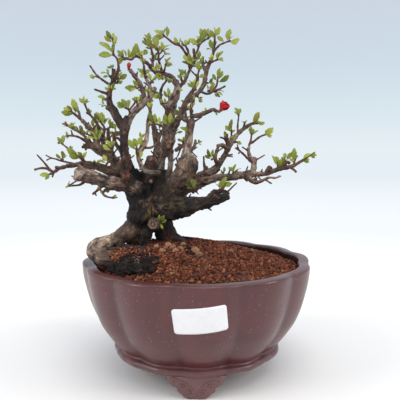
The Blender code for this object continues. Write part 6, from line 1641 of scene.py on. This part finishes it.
def putGrains(name, places, draw):  # in batches, so that no mesh that grows gets slow
    whole = tonedSheet()
    for start in range(0, len(places), grainLook["batch"]):
        batch = tonedSheet()
        for place, size, colour in places[start:start + grainLook["batch"]]:
            addGrain(batch, place, size, colour, draw)
        mesh = meshFrom(batch, name)
        whole.from_mesh(mesh)
        bpy.data.meshes.remove(mesh)
    putPiece(name, whole, [grainFinish], smooth=False)


def makeGrains():
    draw = random.Random("grains")
    radius, pitch, scatter = (soilLook[name] for name in ("wall radius", "pitch", "scatter"))
    rowPitch = pitch * math.sqrt(0.75)
    count = int(2 * radius / rowPitch) + 2
    aside, back = soilLook["layer shift"]
    creaseMargin, sizeMargin = soilLook["wall margin"]
    for layer, (name, lift, share) in enumerate(soilLook["layers"]):
        places = []
        for row, column in itertools.product(range(count), repeat=2):
            x = (column + 0.5 * (row % 2) + aside * layer) * pitch - radius
            y = row * rowPitch - radius + back * layer
            x += draw.uniform(-scatter, scatter)
            y += draw.uniform(-scatter, scatter)
            size = draw.uniform(*soilLook["sizes"])
            colour = draw.choices(soilLook["colours"], soilLook["how often"])[0]
            kept = draw.random() < share
            crease = creaseShare(math.atan2(y, x))
            if not kept or math.hypot(x, y) > radius - creaseMargin * crease - sizeMargin * size:
                continue
            uneven = draw.uniform(-soilLook["uneven"], soilLook["uneven"])
            place = onPot(x, y, soilHeight(x, y) + lift + uneven)
            if not insideWood(place, soilLook["depth in the wood"]):
                places.append((place, size, colour))
        putGrains(name, places, draw)


def spotCrumbs(draw):  # tan chips and dark spots on the soil
    places = []
    for x, y, size in crumbLook["chips"]:
        place = onPot(x, y, soilHeight(x, y) + crumbLook["chip lift"])
        places.append((place, crumbLook["chip scale"] * size, soilLook["tan"]))
    for x, y, reach in crumbLook["dark spots"]:
        for _ in range(int(crumbLook["spot crumbs"] * reach)):
            across = x + draw.gauss(0.0, crumbLook["spot spread"]) * reach
            back = y + draw.gauss(0.0, crumbLook["spot spread"]) * reach
            lift = draw.uniform(*crumbLook["spot lift"])
            place = onPot(across, back, soilHeight(across, back) + lift)
            places.append((place, draw.uniform(*crumbLook["spot sizes"]), soilLook["dark"]))
    return places


def crumbColour(x, y, height, kind, draw):  # and its scale, or None where the root stays bare
    behind = y + 53.0 - 0.3 * (x + 60.0)  # a line along the middle of the roots
    onLoop = x < -74.0 and height > (103.0 - 0.9 * (behind - 8.0)) * mm
    if onLoop and kind < crumbLook["bare loop"]:
        return None
    if behind < 0.0 and kind < crumbLook["bare front"]:
        return None
    cloud = 12.0 * noise.noise((0.1 * x, 0.1 * y, 0.0))
    if behind + cloud > 0.0 and kind < crumbLook["red to"]:
        return draw.choice(soilLook["colours"]), 1.0
    if kind > crumbLook["white from"]:
        return soilLook["white"], 0.5
    return soilLook["dark"], 0.9


def makeCrumbs():
    draw = random.Random("crumbs")
    places = spotCrumbs(draw)
    left, right, front, rear = crumbLook["field"]
    for _ in range(crumbLook["tries"]):
        x, y = draw.uniform(left, right), draw.uniform(front, rear)
        kind, size = draw.random(), draw.uniform(*crumbLook["sizes"])
        above = onPot(x, y, crumbLook["from height"])
        hit, normal, _, _ = woodTree.ray_cast(above, Vector((0.0, 0.0, -1.0)))
        if hit is None or normal.z < crumbLook["steepest"]:
            continue
        if hit.z < (soilHeight(x, y) - crumbLook["deepest"]) * mm:
            continue
        crumb = crumbColour(x, y, hit.z, kind, draw)
        if crumb:
            size *= crumb[1]
            places.append((hit + normal * 0.3 * size * mm, size, crumb[0]))
    putGrains("crumbs_on_roots", places, draw)


makeGrains()
makeCrumbs()
for name, finish in (("soil", soilFinish), ("drain_screen", screenFinish),
                     ("screen_clip", wireFinish)):
    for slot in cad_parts[name].material_slots:
        slot.material = finish
print("soil and screen finished")


# the open flower and the bud, in millimetres along their own axes
bloomLook = {
    "centre": (22.3, 233.4, -26.5), "facing": (0.60, -0.36, 0.71),
    "petals": 5, "length": 6.9, "width": 6.6, "cupping": 1.2, "thickness": 0.3,
    "opening": math.radians(54.0), "roll": math.radians(12.0), "uneven": 0.08,
    "seat": (0.9, -0.4, 0.15),  # out from the axis, up, and up again for every other one
    "cup": [(-4.2, 0.7), (-3.2, 1.0), (-1.6, 1.5), (-0.2, 1.9), (0.6, 1.7)],  # height, radius
    "stamens": 22, "stamen length": (2.2, 3.4), "spread": 1.5, "stamen turn": 2.4,
    "anther": 0.36, "filament": (0.13, 0.12, 0.1),  # radii
}
budLook = {
    "centre": (-59.8, 271.6, -9.0), "facing": (0.15, -0.35, 1.0),
    "radius": 2.15, "petals": 4, "swirl": (0.07, 300.0), "slimness": 0.86, "taper": 0.18,
    "tallness": 1.12,
    "sepals": 5, "sepal": (2.1, 1.5, 0.3),  # length, width, cupping
    "sepal seat": (1.1, -2.1), "sepal lean": math.radians(68.0), "sepal thickness": 0.2,
    "stalk": [(-4.6, 1.0), (-3.2, 1.0), (-2.2, 1.4), (-1.2, 1.3)],
}


def facingMatrix(centre, facing):
    matrix = Vector(facing).normalized().to_track_quat("Z", "Y").to_matrix().to_4x4()
    matrix.translation = sighted(*centre)
    return matrix


def addPetal(bm, matrix, length, width, cupping, phase):
    start = len(bm.verts)
    bmesh.ops.create_grid(bm, x_segments=8, y_segments=8, size=0.5)
    bm.verts.ensure_lookup_table()
    verts = bm.verts[start:]
    for vert in verts:
        side, along = 2.0 * vert.co.x, vert.co.y + 0.5
        half = 0.22 + 0.78 * math.sin(math.pi * min(0.9, 0.10 + 0.84 * along) ** 1.2) ** 0.7
        edge = 0.03 * math.sin(7.0 * side + 5.0 * along + phase) * along
        vert.co.x = side * width / 2 * half
        vert.co.y = length * (along - 0.16 * side * side * along ** 3)
        vert.co.z = cupping * side * side * half + 1.7 * along * along + length * edge
    bmesh.ops.scale(bm, verts=verts, vec=(mm, mm, mm))
    bmesh.ops.transform(bm, verts=verts, matrix=matrix)


def placedRows(rows, matrix):  # from millimetres in the flower's frame
    rows = np.array(rows) * mm
    rows[:, :3] = [matrix @ Vector(row[:3]) for row in rows]
    return rows


def makeFlower(matrix, draw):
    bm = bmesh.new()
    out, up, upAgain = bloomLook["seat"]
    for index in range(bloomLook["petals"]):
        seat = Matrix.Translation(Vector((0.0, out, up + upAgain * (index % 2))) * mm)
        uneven = draw.uniform(-bloomLook["uneven"], bloomLook["uneven"])
        lean = Matrix.Rotation(bloomLook["opening"] + uneven, 4, "X")
        roll = Matrix.Rotation(bloomLook["roll"], 4, "Y")
        turn = Matrix.Rotation(fullTurn * index / bloomLook["petals"] + 0.3, 4, "Z")
        addPetal(bm, matrix @ turn @ seat @ lean @ roll, bloomLook["length"],
                 bloomLook["width"], bloomLook["cupping"], draw.uniform(0.0, 6.0))
    thicken(bm, bloomLook["thickness"] * mm)
    cup = smoothRows([(0.0, 0.0, height, radius) for height, radius in bloomLook["cup"]], 0.5)
    mesh = tubesMesh("flower cup", [placedRows(cup, matrix)], 12)
    giveFinish(mesh.polygons, 1)
    bm.from_mesh(mesh)
    putPiece("open_flower", bm, [petalFinish, sepalFinish], ["bloom"])


def makeStamens(matrix, draw):
    threads, heads = [], bmesh.new()
    low, middle, high = bloomLook["filament"]
    for index in range(bloomLook["stamens"]):
        turn = bloomLook["stamen turn"] * index
        reach = bloomLook["spread"] * math.sqrt((index + 0.5) / bloomLook["stamens"])
        height = 1.2 + draw.uniform(*bloomLook["stamen length"])
        tip = Vector((reach * math.cos(turn), reach * math.sin(turn), height))
        rows = [[0.5 * tip.x, 0.5 * tip.y, 0.5, low],
                [0.8 * tip.x, 0.8 * tip.y, 0.6 * height, middle], [*tip, high]]
        threads.append(placedRows(rows, matrix))
        place = Matrix.Translation(matrix @ (tip * mm))
        bmesh.ops.create_icosphere(heads, subdivisions=2, radius=bloomLook["anther"] * mm,
                                   matrix=place)
    giveFinish(heads.faces, 1)
    mesh = tubesMesh("filaments", threads, 6)
    giveFinish(mesh.polygons, 0)
    heads.from_mesh(mesh)
    putPiece("flower_stamens", heads, [filamentFinish, antherFinish],
             ["bloom_stamens"])


def makeBloom():
    draw = random.Random("bloom")
    matrix = facingMatrix(bloomLook["centre"], bloomLook["facing"])
    makeFlower(matrix, draw)
    makeStamens(matrix, draw)


def budSepals():
    bm = bmesh.new()
    out, up = budLook["sepal seat"]
    for index in range(budLook["sepals"]):
        turn = Matrix.Rotation(fullTurn * index / budLook["sepals"], 4, "Z")
        lean = Matrix.Rotation(budLook["sepal lean"], 4, "X")
        seat = Matrix.Translation(Vector((0.0, out, up)) * mm)
        addPetal(bm, turn @ seat @ lean, *budLook["sepal"], float(index))
    thicken(bm, budLook["sepal thickness"] * mm)
    return meshFrom(bm, "sepals")


def makeBud():
    radius = budLook["radius"] * mm
    bm = bmesh.new()
    bmesh.ops.create_uvsphere(bm, u_segments=24, v_segments=16, radius=radius)
    swirl, pitch = budLook["swirl"]
    for vert in bm.verts:
        turn = math.atan2(vert.co.y, vert.co.x)
        wave = swirl * math.cos(budLook["petals"] * (turn + pitch * vert.co.z))
        slim = budLook["slimness"] + wave - budLook["taper"] * max(0.0, vert.co.z / radius)
        vert.co.x *= slim
        vert.co.y *= slim
        vert.co.z *= budLook["tallness"]
    stalk = np.array([(0.0, 0.0, height, thick) for height, thick in budLook["stalk"]]) * mm
    for mesh in (budSepals(), tubesMesh("bud stalk", [stalk], 12)):
        giveFinish(mesh.polygons, 1)
        bm.from_mesh(mesh)
    bm.transform(facingMatrix(budLook["centre"], budLook["facing"]))
    putPiece("flower_bud", bm, [petalFinish, sepalFinish], ["bud"])


makeBloom()
makeBud()


# floor, light and camera; a stop is (place, colour)
stageLook = {
    "floor size": 120.0, "floor fade": 0.25,  # metres, and what of the ramp one metre uses
    # the floor is lightest near the pot, painted light that thins its shadow, then darker and
    # bluer far off, painted shade for light falling off
    "floor": [(0.08, (0.90, 0.88, 0.86)), (0.22, (0.755, 0.765, 0.775)),
              (0.7, (0.675, 0.70, 0.71)), (1.0, (0.64, 0.675, 0.69))],
    "sky": [(0.0, (0.80, 0.87, 0.91)), (0.03, (0.77, 0.85, 0.90)), (0.075, (0.70, 0.80, 0.865)),
            (0.16, (0.62, 0.725, 0.81)), (0.26, (0.60, 0.675, 0.76))],
    "suns": [("left", -68.0, 32.0, 0.95, 26.0), ("right", 76.0, 30.0, 0.9, 26.0),
             ("top", 20.0, 72.0, 1.1, 40.0)],  # azimuth, elevation, strength, softness
    "sun colour": (1.0, 0.95, 0.89),
    "sensor": 36.0, "lens": 45.45,
    "camera tilt": 5.28,  # degrees down
}


def makeFloor():
    finish, tree, shader = newFinish("pale floor", Roughness=0.95, Specular_IOR_Level=0.0)
    # the colour changes with distance from the pot: painted light near it and painted shade far
    # off
    length = addNode(tree, "VectorMath", {0: addPlace(tree)}, operation="LENGTH")
    away = addMath(tree, "MULTIPLY", length.outputs["Value"], stageLook["floor fade"])
    linkShader(tree, shader, Base_Color=addRamp(tree, away, stageLook["floor"]))
    bpy.ops.mesh.primitive_plane_add(size=stageLook["floor size"], location=(0.0, 0.0, 0.0))
    floor = bpy.context.object
    floor.name = "floor"
    floor.data.materials.append(finish)


def makeLight():
    world = bpy.data.worlds.new("studio")
    bpy.context.scene.world = world
    world.use_nodes = True
    tree = world.node_tree
    height = addNode(tree, "SeparateXYZ", {0: addNode(tree, "TexCoord").outputs["Generated"]})
    sky = addRamp(tree, height.outputs["Z"], stageLook["sky"])
    tree.links.new(sky, tree.nodes["Background"].inputs["Color"])
    tree.nodes["Background"].inputs["Strength"].default_value = 1.0
    bpy.context.scene.view_settings.view_transform = "Standard"
    for name, azimuth, elevation, strength, softness in stageLook["suns"]:
        light = bpy.data.lights.new(name, "SUN")
        light.energy, light.angle = strength, math.radians(softness)
        light.color = stageLook["sun colour"]
        lamp = linkedObject(name, light)
        lamp.rotation_euler = (math.radians(90.0 - elevation), 0.0, math.radians(azimuth))


def makeCamera():
    lens = bpy.data.cameras.new("camera")
    lens.sensor_width, lens.lens = stageLook["sensor"], stageLook["lens"]
    camera = linkedObject("camera", lens)
    camera.location = (eye + potAxis) * mm
    camera.rotation_euler = (math.radians(90.0 - stageLook["camera tilt"]), 0.0, 0.0)
    bpy.context.scene.camera = camera


makeFloor()
makeLight()
makeCamera()
print("stage set")
